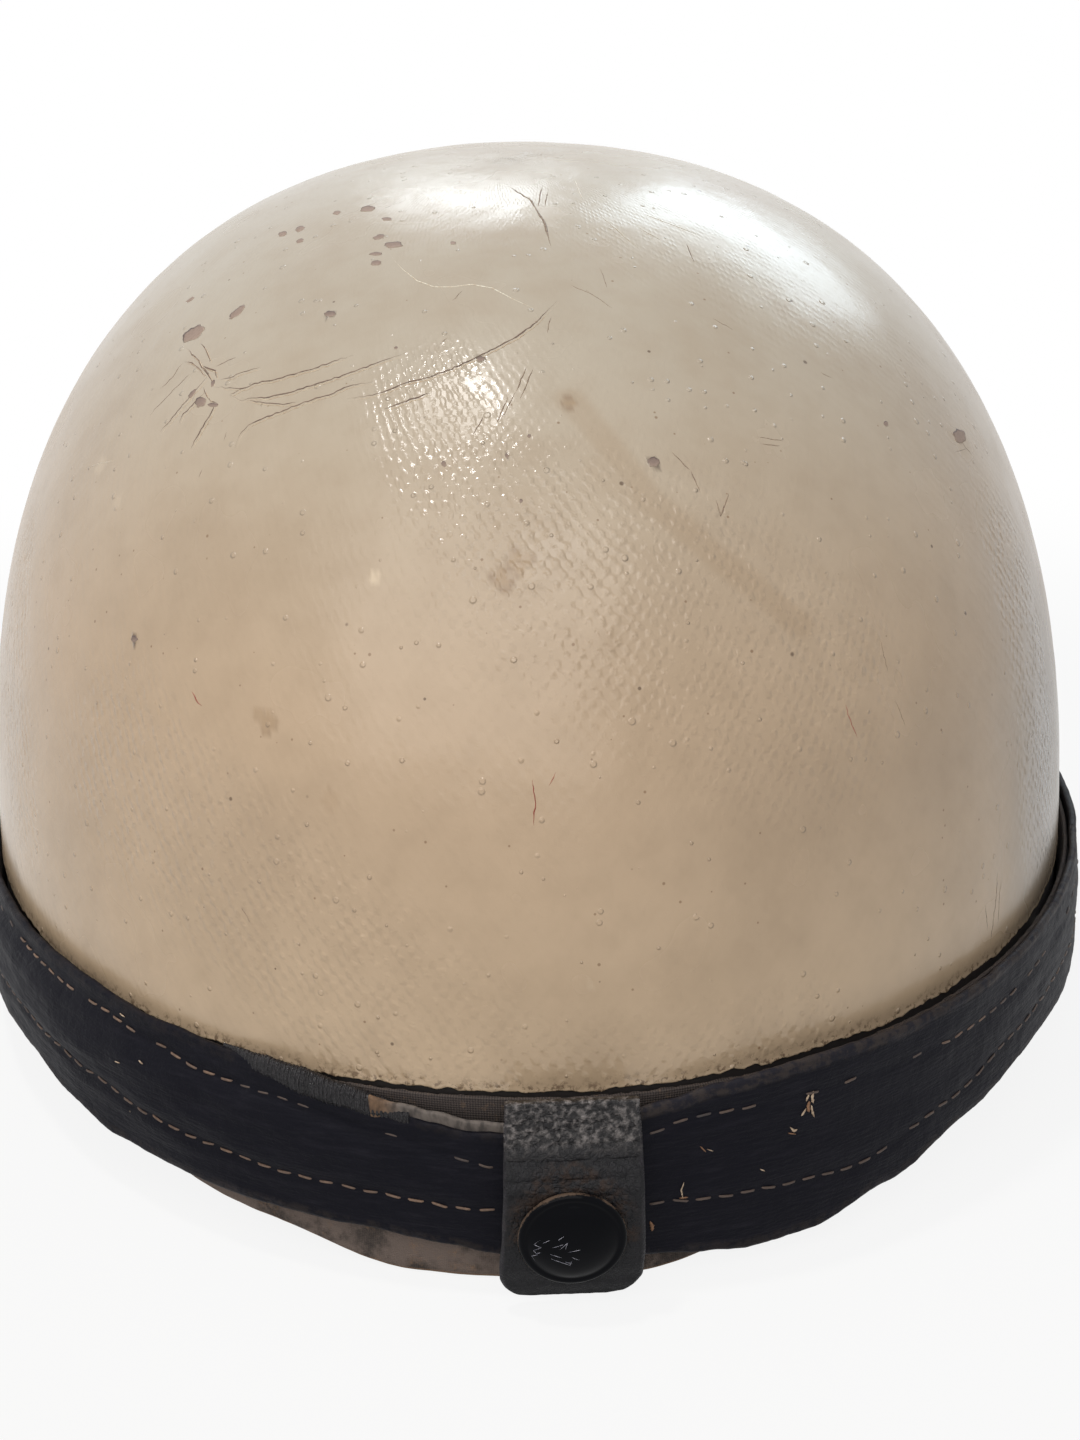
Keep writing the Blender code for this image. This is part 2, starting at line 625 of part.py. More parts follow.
def shell_rivet(name, angle, z, radii, tail_inset, tail_thickness, finish="steel"):
    """A rivet square to the wall: radii are its head, shank and tail; the tail lies at tail_inset."""
    head_radius, shank_radius, tail_radius = radii
    head_top = RIVET_HEAD_OUTSET + RIVET_HEAD_THICKNESS
    tail_end = -tail_inset - tail_thickness
    profile = [
        (0, tail_end), (tail_radius, tail_end), (tail_radius, -tail_inset), (shank_radius, -tail_inset),
        (shank_radius, RIVET_HEAD_OUTSET), (head_radius, RIVET_HEAD_OUTSET), (head_radius, head_top),
        (0, head_top),
    ]
    place = wall_point(angle, 0, z)
    outward = wall_normal(angle, 0)
    rivet = turned(name, profile, 12, place, outward, finish)
    hole = rod(name + "_hole", shank_radius + HOLE_CLEARANCE,
               place - outward * (tail_inset + CUT_OVERRUN), place + outward * RIVET_HEAD_OUTSET, 12)
    return rivet, hole


def make_cradle(shell, lining):
    """Three straps that cross at the crown, and a rivet at each of their feet."""
    tail_inset = CRADLE_WALL_INSET + CRADLE_THICKNESS / 2 + GAP
    radii = (HARNESS_HEAD_RADIUS, HARNESS_SHANK_RADIUS, HARNESS_HEAD_RADIUS)
    rivets = []
    for layer, (name, angle) in enumerate(CRADLE_ANGLES.items()):
        strap = make_cradle_strap(name, angle, layer)
        for turn in (0, math.pi):
            rivet, hole = shell_rivet(f"harness_rivet_{len(rivets) + 1}", angle + turn, HARNESS_RIVET_Z,
                                      radii, tail_inset, HARNESS_TAIL_THICKNESS)
            for piece in (strap, shell, lining):
                boolean(piece, hole)
            rivets.append(rivet)


# Chin straps.

def strap_route(side, reach):
    """Points on the stowed route along the wall, from ahead of the anchor back to reach past it.

    The long strap leaves the wall on its way to the rear, to pass inside the buckle.
    """
    step = math.radians(1.5)
    angle = math.radians(90) + math.asin(STRAP_WIDTH / SHELL_HALF_LENGTH)
    points = []
    lengths = []
    anchor = wall_point(math.radians(90), -STRAP_ROUTE_INSET, ANCHOR_Z)
    travelled = -(wall_point(angle, -STRAP_ROUTE_INSET, ANCHOR_Z) - anchor).length
    while travelled < reach:
        inset = STRAP_ROUTE_INSET
        if side > 0:
            inset += LONG_STRAP_STEP * (1 if angle < 0 else max(0, math.cos(angle)) ** 2)
        point = wall_point(angle, -inset, ANCHOR_Z)
        if points:
            travelled += (point - points[-1]).length
        points.append(point)
        lengths.append(travelled)
        angle -= step
    if side < 0:
        points = [Vector((-p.x, p.y, p.z)) for p in points]
    return points, lengths


def at_distance(route, distance):
    """The place and heading on a route of points at a distance from the anchor."""
    points, lengths = route
    k = 1
    while k < len(points) - 1 and lengths[k] < distance:
        k += 1
    heading = (points[k] - points[k - 1]).normalized()
    return points[k - 1] + heading * (distance - lengths[k - 1]), heading


def end_rows(route, end, inward, half):
    """Rows of a round strap end; inward is 1 when the strap lies further along the route."""
    rows = []
    for k in range(6):
        turn = math.radians(90) * (k + 0.5) / 6
        place, _ = at_distance(route, end - inward * half * math.cos(turn))
        rise = Vector((0, 0, half * math.sin(turn)))
        rows.append([place - rise, place + rise])
    return rows if inward > 0 else rows[::-1]


def straight_rows(route, start, end, half):
    count = max(1, math.ceil((end - start) / STRAP_ROW_LENGTH))
    rise = Vector((0, 0, half))
    places = [at_distance(route, start + (end - start) * k / count)[0] for k in range(count + 1)]
    return [[place - rise, place + rise] for place in places]


def folded_back(route, distance, side):
    """The route to distance, a turn inwards there, and the way back along the strap's inner side."""
    points, lengths = route
    kept = [(p, d) for p, d in zip(points, lengths) if d < distance]
    place, heading = at_distance(route, distance)
    kept.append((place, distance))
    inward = Vector((heading.y, -heading.x, 0)) * -side
    radius = LONG_STRAP_FOLD_RADIUS
    centre = place + inward * radius
    for k in range(1, 9):
        turn = math.pi * k / 8
        point = centre - inward * radius * math.cos(turn) + heading * radius * math.sin(turn)
        kept.append((point, kept[-1][1] + (point - kept[-1][0]).length))
    for point, travelled in zip(reversed(points), reversed(lengths)):
        if not distance - LONG_STRAP_RETURN - STRAP_WIDTH < travelled < distance - radius:
            continue
        _, ahead = at_distance(route, travelled)
        moved = point + Vector((ahead.y, -ahead.x, 0)) * -side * 2 * radius
        kept.append((moved, kept[-1][1] + (moved - kept[-1][0]).length))
    return [p for p, _ in kept], [d for _, d in kept]


def anchor_rivet(side):
    """The rivet and spacer washer of one chin strap, and the hole that both leave."""
    word = "left" if side > 0 else "right"
    angle = math.radians(90) * side
    tail_inset = STRAP_FACE_INSET + STRAP_THICKNESS + GAP
    radii = (ANCHOR_HEAD_RADIUS, ANCHOR_SHANK_RADIUS, ANCHOR_HEAD_RADIUS)
    rivet, hole = shell_rivet(f"strap_rivet_{word}", angle, ANCHOR_Z, radii, tail_inset,
                              ANCHOR_TAIL_THICKNESS)
    bore = ANCHOR_SHANK_RADIUS + HOLE_CLEARANCE
    thickness = STRAP_FACE_INSET - SHELL_WALL - 2 * GAP
    place = wall_point(angle, -SHELL_WALL - GAP - thickness, ANCHOR_Z)
    turned(f"strap_washer_{word}", [
        (bore, 0), (ANCHOR_WASHER_RADIUS, 0), (ANCHOR_WASHER_RADIUS, thickness), (bore, thickness),
    ], 20, place, wall_normal(angle, 0), "steel")
    return hole


def make_long_strap(hinge, hole):
    half = STRAP_WIDTH / 2
    route = folded_back(strap_route(1, LONG_STRAP_REACH), LONG_STRAP_REACH, 1)
    total = LONG_STRAP_REACH + math.pi * LONG_STRAP_FOLD_RADIUS + LONG_STRAP_RETURN
    fold_end = LONG_STRAP_REACH + math.pi * LONG_STRAP_FOLD_RADIUS
    rows = end_rows(route, 0, 1, half)
    rows += straight_rows(route, STRAP_ROW_LENGTH / 2, LONG_STRAP_REACH, half)
    fold_count = 6
    rise = Vector((0, 0, half))
    for k in range(1, fold_count):
        place, _ = at_distance(route, LONG_STRAP_REACH + (fold_end - LONG_STRAP_REACH) * k / fold_count)
        rows.append([place - rise, place + rise])
    rows += straight_rows(route, fold_end, total - half, half)
    rows += end_rows(route, total - half, -1, half)
    strap = sheet("chin_strap_long", rows, "strap", closed=False)
    solidify(strap, STRAP_THICKNESS, 0)
    boolean(strap, hole)
    for k in range(STRAP_HOLE_COUNT):
        place, heading = at_distance(route, total - STRAP_HOLE_FROM_TIP - STRAP_HOLE_PITCH * k)
        through = Vector((heading.y, -heading.x, 0)) * STRAP_THICKNESS
        boolean(strap, rod(f"strap_hole_{k + 1}", STRAP_HOLE_RADIUS, place - through, place + through, 10))
    carry(strap, hinge)


def make_short_strap(hinge, hole, route):
    """The short strap, its end folded into a loop for the buckle and slotted for the prong."""
    half = STRAP_WIDTH / 2
    bar, heading = at_distance(route, SHORT_STRAP_REACH)
    bore = BUCKLE_WIRE_RADIUS + BUCKLE_LOOP_CLEARANCE
    loop_radius = bore + STRAP_LOOP_WALL
    end = SHORT_STRAP_REACH - bore - STRAP_LOOP_WALL / 2
    rows = end_rows(route, 0, 1, half)
    rows += straight_rows(route, STRAP_ROW_LENGTH / 2, end, half)
    strap = sheet("chin_strap_short", rows[::-1], "strap", closed=False)
    solidify(strap, STRAP_THICKNESS, 0)
    rise = Vector((0, 0, half - STRAP_LOOP_SHOULDER))
    loop = rod("strap_loop", loop_radius, bar - rise, bar + rise, facing=heading)
    boolean(strap, loop, "UNION")
    over = Vector((0, 0, half + CUT_OVERRUN))
    boolean(strap, rod("strap_loop_bore", bore, bar - over, bar + over, facing=heading))
    slot = block("prong_slot", bar, heading,
                 (PRONG_SLOT_REACH, loop_radius + CUT_OVERRUN,
                  PRONG_WIDTH / 2 + PRONG_SLOT_CLEARANCE))
    boolean(strap, slot)
    boolean(strap, hole)
    carry(strap, hinge)


def make_buckle(hinge, bar, heading):
    """A rounded rectangle of wire; its near side is the bar in the strap's loop."""
    half_height = STRAP_WIDTH / 2 + BUCKLE_SIDE_CLEARANCE + BUCKLE_WIRE_RADIUS
    corner = BUCKLE_CORNER_RADIUS
    up = Vector((0, 0, 1))
    points = []
    centres = (
        (0 + corner, -half_height + corner, 180), (BUCKLE_LENGTH - corner, -half_height + corner, 270),
        (BUCKLE_LENGTH - corner, half_height - corner, 0), (0 + corner, half_height - corner, 90),
    )
    for along, height, start in centres:
        for k in range(4):
            turn = math.radians(start + 30 * k)
            points.append(bar + heading * (along + corner * math.cos(turn))
                          + up * (height + corner * math.sin(turn)))
    wire = bpy.data.curves.new("buckle_frame", "CURVE")
    wire.dimensions = "3D"
    wire.bevel_depth = BUCKLE_WIRE_RADIUS
    wire.bevel_resolution = 2
    line = wire.splines.new("POLY")
    line.points.add(len(points) - 1)
    for spot, point in zip(line.points, points):
        spot.co = (*point, 1)
    line.use_cyclic_u = True
    frame = new_object("buckle_frame", wire, "steel")
    carry(frame, hinge)


def make_prong(hinge, bar, heading, inward):
    """A flat tongue whose ring turns on the buckle's bar and whose tip rests on the far side."""
    ring_bore = BUCKLE_WIRE_RADIUS + PRONG_RING_CLEARANCE
    ring_radius = PRONG_INNER_FACE
    rise = Vector((0, 0, PRONG_WIDTH / 2))
    prong = turned("buckle_prong", [
        (ring_bore, -PRONG_WIDTH / 2), (ring_radius, -PRONG_WIDTH / 2), (ring_radius, PRONG_WIDTH / 2),
        (ring_bore, PRONG_WIDTH / 2),
    ], 20, bar, Vector((0, 0, 1)), "steel", facing=heading)
    low = BUCKLE_WIRE_RADIUS + GAP
    middle = bar + heading * PRONG_REACH / 2 + inward * (low + ring_radius) / 2
    tongue = block("prong_tongue", middle, heading,
                   (PRONG_REACH / 2, (ring_radius - low) / 2, PRONG_WIDTH / 2 - PRONG_SHOULDER))
    boolean(prong, tongue, "UNION")
    boolean(prong, rod("prong_bore", ring_bore, bar - 2 * rise, bar + 2 * rise, 20, heading))
    carry(prong, hinge)


def make_keeper(hinge, middle, heading):
    """A square loop round the short strap."""
    opening = (KEEPER_LENGTH, STRAP_THICKNESS / 2 + KEEPER_CLEARANCE, STRAP_WIDTH / 2 + KEEPER_CLEARANCE)
    keeper = block("strap_keeper", middle, heading, (
        KEEPER_LENGTH / 2, opening[1] + KEEPER_THICKNESS, opening[2] + KEEPER_THICKNESS))
    keeper.data.materials.append(finish_material("strap_keeper", "strap"))
    boolean(keeper, block("keeper_opening", middle, heading, opening))
    carry(keeper, hinge)


def main():
    clear_scene()
    shell = make_shell()
    make_binding()
    lining = make_lining()
    band = make_band()

    tab_hinge = pivot("tab_hinge", (0, SHELL_REAR_Y + TAB_ROOT_OUTSET + TAB_THICKNESS,
                                    TAB_FOLD_Z - TAB_FOLD_GAP / 2))
    make_tab(tab_hinge)
    make_snap(tab_hinge)
    stud_hole = make_stud()
    for piece in (shell, lining, band):
        boolean(piece, stud_hole)

    make_liner()
    make_headband()
    make_cradle(shell, lining)

    anchor_x = wall_point(math.radians(90), -STRAP_ROUTE_INSET, 0).x
    long_hinge = pivot("long_strap_hinge", (anchor_x, SHELL_CENTRE_Y, ANCHOR_Z))
    short_hinge = pivot("short_strap_hinge", (-anchor_x, SHELL_CENTRE_Y, ANCHOR_Z))
    left_hole = anchor_rivet(1)
    right_hole = anchor_rivet(-1)
    for piece in (shell, lining):
        boolean(piece, left_hole)
        boolean(piece, right_hole)
    make_long_strap(long_hinge, left_hole)

    route = strap_route(-1, SHORT_STRAP_REACH + STRAP_WIDTH)
    make_short_strap(short_hinge, right_hole, route)
    bar, heading = at_distance(route, SHORT_STRAP_REACH)
    heading.rotate(Matrix.Rotation(-BUCKLE_SET, 3, "Z"))
    inward = Vector((heading.y, -heading.x, 0))
    bar_pivot = pivot("buckle_pivot", bar, short_hinge)
    make_buckle(bar_pivot, bar, heading)
    make_prong(pivot("prong_pivot", bar, bar_pivot), bar, heading, inward)
    middle, keeper_heading = at_distance(route, SHORT_STRAP_REACH - KEEPER_FROM_BUCKLE)
    make_keeper(pivot("keeper_slide", middle, short_hinge), middle, keeper_heading)


main()
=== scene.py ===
import json
import random

import bpy
import numpy as np
from math import asin, atan2, copysign, cos, degrees, exp, hypot, pi, radians, sin
from mathutils import Matrix, Vector, noise


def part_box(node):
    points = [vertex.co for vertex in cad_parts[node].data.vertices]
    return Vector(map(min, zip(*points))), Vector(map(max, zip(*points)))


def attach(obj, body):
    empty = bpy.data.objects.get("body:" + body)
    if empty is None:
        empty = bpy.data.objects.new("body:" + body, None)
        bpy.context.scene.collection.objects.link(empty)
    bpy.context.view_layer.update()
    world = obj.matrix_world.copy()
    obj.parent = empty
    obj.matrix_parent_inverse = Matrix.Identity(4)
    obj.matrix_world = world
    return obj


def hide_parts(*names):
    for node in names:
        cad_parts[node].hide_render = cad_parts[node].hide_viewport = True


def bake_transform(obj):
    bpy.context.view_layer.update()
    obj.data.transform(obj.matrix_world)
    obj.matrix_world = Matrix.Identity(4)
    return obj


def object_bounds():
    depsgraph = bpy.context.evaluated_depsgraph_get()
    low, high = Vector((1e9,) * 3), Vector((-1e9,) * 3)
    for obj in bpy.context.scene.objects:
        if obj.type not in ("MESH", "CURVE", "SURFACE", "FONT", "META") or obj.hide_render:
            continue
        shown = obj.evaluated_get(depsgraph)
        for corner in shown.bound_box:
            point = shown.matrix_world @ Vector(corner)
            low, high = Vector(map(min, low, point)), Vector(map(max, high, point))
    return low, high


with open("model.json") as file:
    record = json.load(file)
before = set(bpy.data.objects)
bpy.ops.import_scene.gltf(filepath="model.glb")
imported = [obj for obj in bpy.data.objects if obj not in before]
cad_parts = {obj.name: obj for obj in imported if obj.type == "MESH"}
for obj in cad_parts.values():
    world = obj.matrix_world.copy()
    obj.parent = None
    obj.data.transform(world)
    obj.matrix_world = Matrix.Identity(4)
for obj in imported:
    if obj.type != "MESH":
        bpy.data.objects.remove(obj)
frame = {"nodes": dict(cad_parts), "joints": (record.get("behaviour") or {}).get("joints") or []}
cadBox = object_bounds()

mm = 0.001

# the helmet's form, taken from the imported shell
shellLow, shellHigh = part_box("shell")
form = {
    "halfWidth": (shellHigh.x - shellLow.x) / 2,
    "halfLength": (shellHigh.y - shellLow.y) / 2,
    "centreY": (shellHigh.y + shellLow.y) / 2,
    "crownZ": shellHigh.z,
    "paintLineZ": 36 * mm,
    "planPower": 1.96,       # 2 would be a true ellipse
    "domePower": 2.4,
    "rimRise": 4.6 * mm,     # the rim's rise beside the rear
    "rimRestDeg": 4.5,
    "rimRestHalfDeg": 10.2,
    "rimRiseSpanDeg": 14,
    "earRise": 10.8 * mm,    # its further rise over the ears
    "earHalfDeg": 21.7,
    "earRiseSpanDeg": 36,
    "rimFrontDeg": 146,
    "rimFallSpanDeg": 40,
}
form["rearY"] = form["centreY"] + form["halfLength"]
form["domeHeight"] = form["crownZ"] - form["paintLineZ"]


# places on the helmet. Angles are in degrees, 0 at the rear, 90 at the wearer's left

def smooth(value):
    value = np.clip(value, 0.0, 1.0)
    return value * value * (3 - 2 * value)


def planXY(angleDeg, outset=0.0, share=1.0):
    turn = np.radians(angleDeg)
    s, c = np.sin(turn), np.cos(turn)
    power = 2 / form["planPower"]
    x = (form["halfWidth"] * share + outset) * np.sign(s) * np.abs(s) ** power
    y = (form["halfLength"] * share + outset) * np.sign(c) * np.abs(c) ** power
    return x, form["centreY"] + y


def drawnIn(x, y, share):
    return x * share, form["centreY"] + (y - form["centreY"]) * share


def domeAt(tilt):
    # the dome's reach and rise, 0 to 1, at a tilt of 0 at the paint line to half pi at the crown
    power = 2 / form["domePower"]
    return np.cos(tilt) ** power, np.sin(tilt) ** power


def rimRiseAt(angleDeg):
    angle = (np.asarray(angleDeg, float) + 180) % 360 - 180
    away = np.abs(angle - form["rimRestDeg"])
    besideRear = smooth((away - form["rimRestHalfDeg"]) / form["rimRiseSpanDeg"])
    overEar = smooth((away - form["earHalfDeg"]) / form["earRiseSpanDeg"])
    beforeFront = smooth((form["rimFrontDeg"] - np.abs(angle)) / form["rimFallSpanDeg"])
    return (form["rimRise"] * besideRear + form["earRise"] * overEar) * beforeFront


def trimZ(angleDeg, z):
    return z + rimRiseAt(angleDeg) * np.clip(1 - z / form["paintLineZ"], 0, 1)


def wallPoint(angleDeg, outset, z):
    x, y = planXY(angleDeg, outset)
    return Vector((float(x), float(y), float(z)))


def wallNormal(angleDeg):
    a, b = wallPoint(angleDeg - 0.5, 0, 0), wallPoint(angleDeg + 0.5, 0, 0)
    return Vector((a.y - b.y, b.x - a.x, 0)).normalized()


def upBy(z):
    return Vector((0, 0, z * mm))


def outOf(heading):
    # level and square to a heading
    return Vector((heading.y, -heading.x, 0))


def roundAngles(rearCount, frontCount, turn=75):
    # angles right round the helmet, closer together at the rear
    return np.concatenate([np.linspace(-turn, turn, rearCount, endpoint=False),
                           np.linspace(turn, 360 - turn, frontCount, endpoint=False)])


def pathLengths(points):
    return np.concatenate([[0], np.cumsum(np.linalg.norm(np.diff(points, axis=0), axis=1))])


def shellMeasure(point):
    # below 0 inside the shell's outer face, above 0 outside
    x = abs(point[0]) / form["halfWidth"]
    y = abs(point[1] - form["centreY"]) / form["halfLength"]
    z = max(point[2] - form["paintLineZ"], 0) / form["domeHeight"]
    return (x ** form["planPower"] + y ** form["planPower"]) ** (form["domePower"] / form["planPower"]) \
        + z ** form["domePower"] - 1


def shellNormal(point):
    step = 0.1 * mm
    slope = Vector([
        shellMeasure(point + Vector(along) * step) - shellMeasure(point - Vector(along) * step)
        for along in ((1, 0, 0), (0, 1, 0), (0, 0, 1))
    ])
    return slope.normalized()


def directionAt(azimuthDeg, elevationDeg):
    turn, rise = radians(azimuthDeg), radians(elevationDeg)
    return Vector((sin(turn) * cos(rise), -cos(turn) * cos(rise), sin(rise)))


def jointNamed(name):
    return next(joint for joint in frame["joints"] if joint["name"] == name)


# camera, matched to the photograph

view = {
    "azimuthDeg": 177.2,
    "elevationDeg": 20.21,
    "rollDeg": -0.99,
    "aim": Vector((-3.0 * mm, -5.2 * mm, 51.7 * mm)),
    "distance": 0.6,
    "lens": 69.6,
    "sensor": 36.0,
    "photoWidth": 1080,
    "photoHeight": 1440,
}


def viewAxes():
    back = directionAt(view["azimuthDeg"], view["elevationDeg"])
    right = Vector((0, 0, 1)).cross(back).normalized()
    up = back.cross(right)
    roll = radians(view["rollDeg"])
    return right * cos(roll) + up * sin(roll), up * cos(roll) - right * sin(roll), back


def makeCamera():
    right, up, back = viewAxes()
    lens = bpy.data.cameras.new("camera")
    lens.lens = view["lens"]
    lens.sensor_width = view["sensor"]
    lens.sensor_fit = "AUTO"
    lens.clip_start = 0.01
    camera = bpy.data.objects.new("camera", lens)
    camera.matrix_world = Matrix.Translation(view["aim"] + back * view["distance"]) \
        @ Matrix((right, up, back)).transposed().to_4x4()
    bpy.context.scene.collection.objects.link(camera)
    bpy.context.scene.camera = camera


def onShell(photoX, photoY, measure=shellMeasure):
    # the shell's outer face under a pixel of the photograph, or another face that measure gives
    right, up, back = viewAxes()
    eye = view["aim"] + back * view["distance"]
    focal = view["lens"] / view["sensor"] * view["photoHeight"]
    ray = (right * (photoX - view["photoWidth"] / 2) + up * (view["photoHeight"] / 2 - photoY)) / focal - back
    ray.normalize()
    near, step = 0.3, 1.0 * mm
    while near < 0.9 and measure(eye + ray * near) > 0:
        near += step
    far = near
    near -= step
    for _ in range(20):
        middle = (near + far) / 2
        if measure(eye + ray * middle) > 0:
            near = middle
        else:
            far = middle
    return eye + ray * far


makeCamera()
print("camera set")


# mesh helpers

def addPiece(name, verts, faces, materials, body="root", slot=None, smoothFaces=True, **floats):
    mesh = bpy.data.meshes.new(name)
    mesh.from_pydata([tuple(v) for v in verts], [], faces)
    mesh.validate()
    if smoothFaces:
        mesh.shade_smooth()
    for material in materials if isinstance(materials, (list, tuple)) else [materials]:
        mesh.materials.append(material)
    piece = bpy.data.objects.new(name, mesh)
    bpy.context.scene.collection.objects.link(piece)
    for label, values in floats.items():
        setFloats(piece, label, values)
    if body:
        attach(piece, body)
    return piece


def gridFaces(rows, columns, closedAcross=False, closedAlong=False, offset=0):
    # quads between rows of points; the points of one row are side by side
    faces = []
    for r in range(rows if closedAlong else rows - 1):
        below, above = r * columns, ((r + 1) % rows) * columns
        for c in range(columns if closedAcross else columns - 1):
            n = (c + 1) % columns
            faces.append((offset + below + c, offset + below + n, offset + above + n, offset + above + c))
    return faces


def endFaces(rows, columns, offset=0):
    # the faces that close both ends of a tube of rows
    last = offset + (rows - 1) * columns
    return [tuple(range(offset, offset + columns))[::-1], tuple(range(last, last + columns))]


def fanFaces(hub, first, columns, flip=False):
    # triangles from a ring of points to the point that closes it
    fan = [(hub, first + k, first + (k + 1) % columns) for k in range(columns)]
    return [face[::-1] for face in fan] if flip else fan


def setFloats(piece, name, values):
    attribute = piece.data.attributes.new(name, "FLOAT", "POINT")
    attribute.data.foreach_set("value", np.asarray(values, np.float32))


def ribbonRings(places, normals, width, height, wobble):
    # a thin closed body along a line of places: left, top, right and bottom corners, drawn out to both ends
    rings = []
    for k, place in enumerate(places):
        before, after = places[max(k - 1, 0)], places[min(k + 1, len(places) - 1)]
        ahead = (after - before).normalized()
        side = normals[k].cross(ahead).normalized()
        share = k / (len(places) - 1)
        taper = max(0.12, min(1.0, 5 * share, 5 * (1 - share)))
        half = width * 0.5 * taper * wobble.uniform(0.7, 1.25)
        rings.append([place + side * half, place + normals[k] * height * taper,
                      place - side * half, place - normals[k] * height])
    return rings


def addRibbons(name, trails, material, body="root", seed=1):
    wobble = random.Random(seed)
    verts, faces = [], []
    for places, normals, width, height in trails:
        first = len(verts)
        for ring in ribbonRings(places, normals, width, height, wobble):
            verts += ring
        faces += gridFaces(len(places), 4, closedAcross=True, offset=first) + endFaces(len(places), 4, first)
    return addPiece(name, verts, faces, material, body)


def fractal(point, size, octaves=3, seed=0.0):
    return noise.fractal(Vector(point) / size + Vector((seed, seed * 1.7, -seed)), 1.0, 2.0, octaves)


def unevenness(angles, outset, *waves):
    # each wave is its height and length in millimetres, its octaves and its seed
    places = [wallPoint(angle, outset * mm, 0) for angle in angles]
    return np.array([sum(height * fractal(p, length * mm, octaves, seed) for height, length, octaves, seed in waves)
                     for p in places])


def curveAt(points, angles):
    # smooth reading of listed (angle, value) points round the whole helmet
    xs = np.array([p[0] for p in points], float)
    ys = np.array([p[1] for p in points], float)
    xs = np.concatenate([xs - 360, xs, xs + 360])
    ys = np.concatenate([ys, ys, ys])
    angles = (np.asarray(angles, float) + 180) % 360 - 180
    at = np.clip(np.searchsorted(xs, angles) - 1, 0, len(xs) - 2)
    return ys[at] + (ys[at + 1] - ys[at]) * smooth((angles - xs[at]) / np.maximum(xs[at + 1] - xs[at], 1e-6))


# material helpers

class Nodes:
    # short names for building one node tree
    def __init__(self, tree):
        self.tree = tree

    def put(self, value, socket):
        if isinstance(value, bpy.types.NodeSocket):
            self.tree.links.new(value, socket)
        else:
            socket.default_value = value

    def add(self, kind, **inputs):
        # _name is a setting of the node, i3 its input number 3, any other name the input of that name
        node = self.tree.nodes.new(kind)
        for name, value in inputs.items():
            if name.startswith("_"):
                setattr(node, name[1:], value)
            elif name[0] == "i" and name[1:].isdigit():
                self.put(value, node.inputs[int(name[1:])])
            else:
                self.put(value, node.inputs[name.replace("_", " ")])
        return node

    def group(self, name, **inputs):
        return self.add("ShaderNodeGroup", _node_tree=groups[name], **inputs).outputs[0]

    def math(self, operation, a, b=0.0, clamp=False):
        return self.add("ShaderNodeMath", _operation=operation, _use_clamp=clamp, i0=a, i1=b).outputs[0]

    def times(self, a, b):
        return self.math("MULTIPLY", a, b)

    def plus(self, a, b):
        return self.math("ADD", a, b)

    def minus(self, a, b, clamp=False):
        return self.math("SUBTRACT", a, b, clamp)

    def over(self, a, b):
        return self.math("DIVIDE", a, b)

    def mix(self, share, a, b, blend="MIX"):
        node = self.add("ShaderNodeMix", _data_type="RGBA", _blend_type=blend, i0=share, i6=a, i7=b)
        return node.outputs[2]

    def ramp(self, value, low, high, outLow=0.0, outHigh=1.0):
        return self.add("ShaderNodeMapRange", _interpolation_type="SMOOTHSTEP", Value=value, From_Min=low,
                        From_Max=high, To_Min=outLow, To_Max=outHigh).outputs[0]

    def noise(self, vector, scale, detail=3.0, roughness=0.55, distortion=0.0):
        return self.add("ShaderNodeTexNoise", Vector=vector, Scale=scale, Detail=detail,
                        Roughness=roughness, Distortion=distortion).outputs[0]

    def attribute(self, name):
        return self.add("ShaderNodeAttribute", _attribute_name=name).outputs["Fac"]

    def scaled(self, vector, x, y, z):
        return self.add("ShaderNodeVectorMath", _operation="MULTIPLY", i0=vector, i1=(x, y, z)).outputs[0]

    def bump(self, height, depth, strength=1.0, normal=None):
        # height runs 0 to 1, depth is its real size in metres
        node = self.add("ShaderNodeBump", Height=height, Strength=strength, Distance=depth)
        if normal is not None:
            self.put(normal, node.inputs["Normal"])
        return node.outputs[0]

    def finish(self, colour, roughness, specular=0.5, metallic=0.0, normal=None):
        inputs = self.shader.inputs
        self.put(colour, inputs["Base Color"])
        self.put(roughness, inputs["Roughness"])
        self.put(specular, inputs["Specular IOR Level"])
        self.put(metallic, inputs["Metallic"])
        if normal is not None:
            self.put(normal, inputs["Normal"])
        return self.material


def linear(red, green, blue):
    # screen values of 0 to 255 as a linear colour
    def one(value):
        value /= 255
        return value / 12.92 if value <= 0.04045 else ((value + 0.055) / 1.055) ** 2.4
    return (one(red), one(green), one(blue), 1.0)


def newMaterial(name):
    # a material's nodes, and the place on the piece in metres
    material = bpy.data.materials.new(name)
    material.use_nodes = True
    material.node_tree.nodes.clear()
    n = Nodes(material.node_tree)
    n.material, n.out, n.shader = material, n.add("ShaderNodeOutputMaterial"), n.add("ShaderNodeBsdfPrincipled")
    n.put(n.shader.outputs[0], n.out.inputs[0])
    return n, n.add("ShaderNodeTexCoord").outputs["Object"]


def newGroup(name, output, **inputs):
    # a node group with one value out: an input that has no value of its own is a place on the piece
    group = bpy.data.node_groups.new(name, "ShaderNodeTree")
    for label, value in inputs.items():
        kind = "NodeSocketVector" if value is None else "NodeSocketFloat"
        socket = group.interface.new_socket(name=label, in_out="INPUT", socket_type=kind)
        if value is not None:
            socket.default_value = value
    group.interface.new_socket(name=output, in_out="OUTPUT", socket_type="NodeSocketFloat")
    n = Nodes(group)
    return group, n, n.add("NodeGroupInput").outputs, n.add("NodeGroupOutput").inputs[0]



# groups that several finishes share

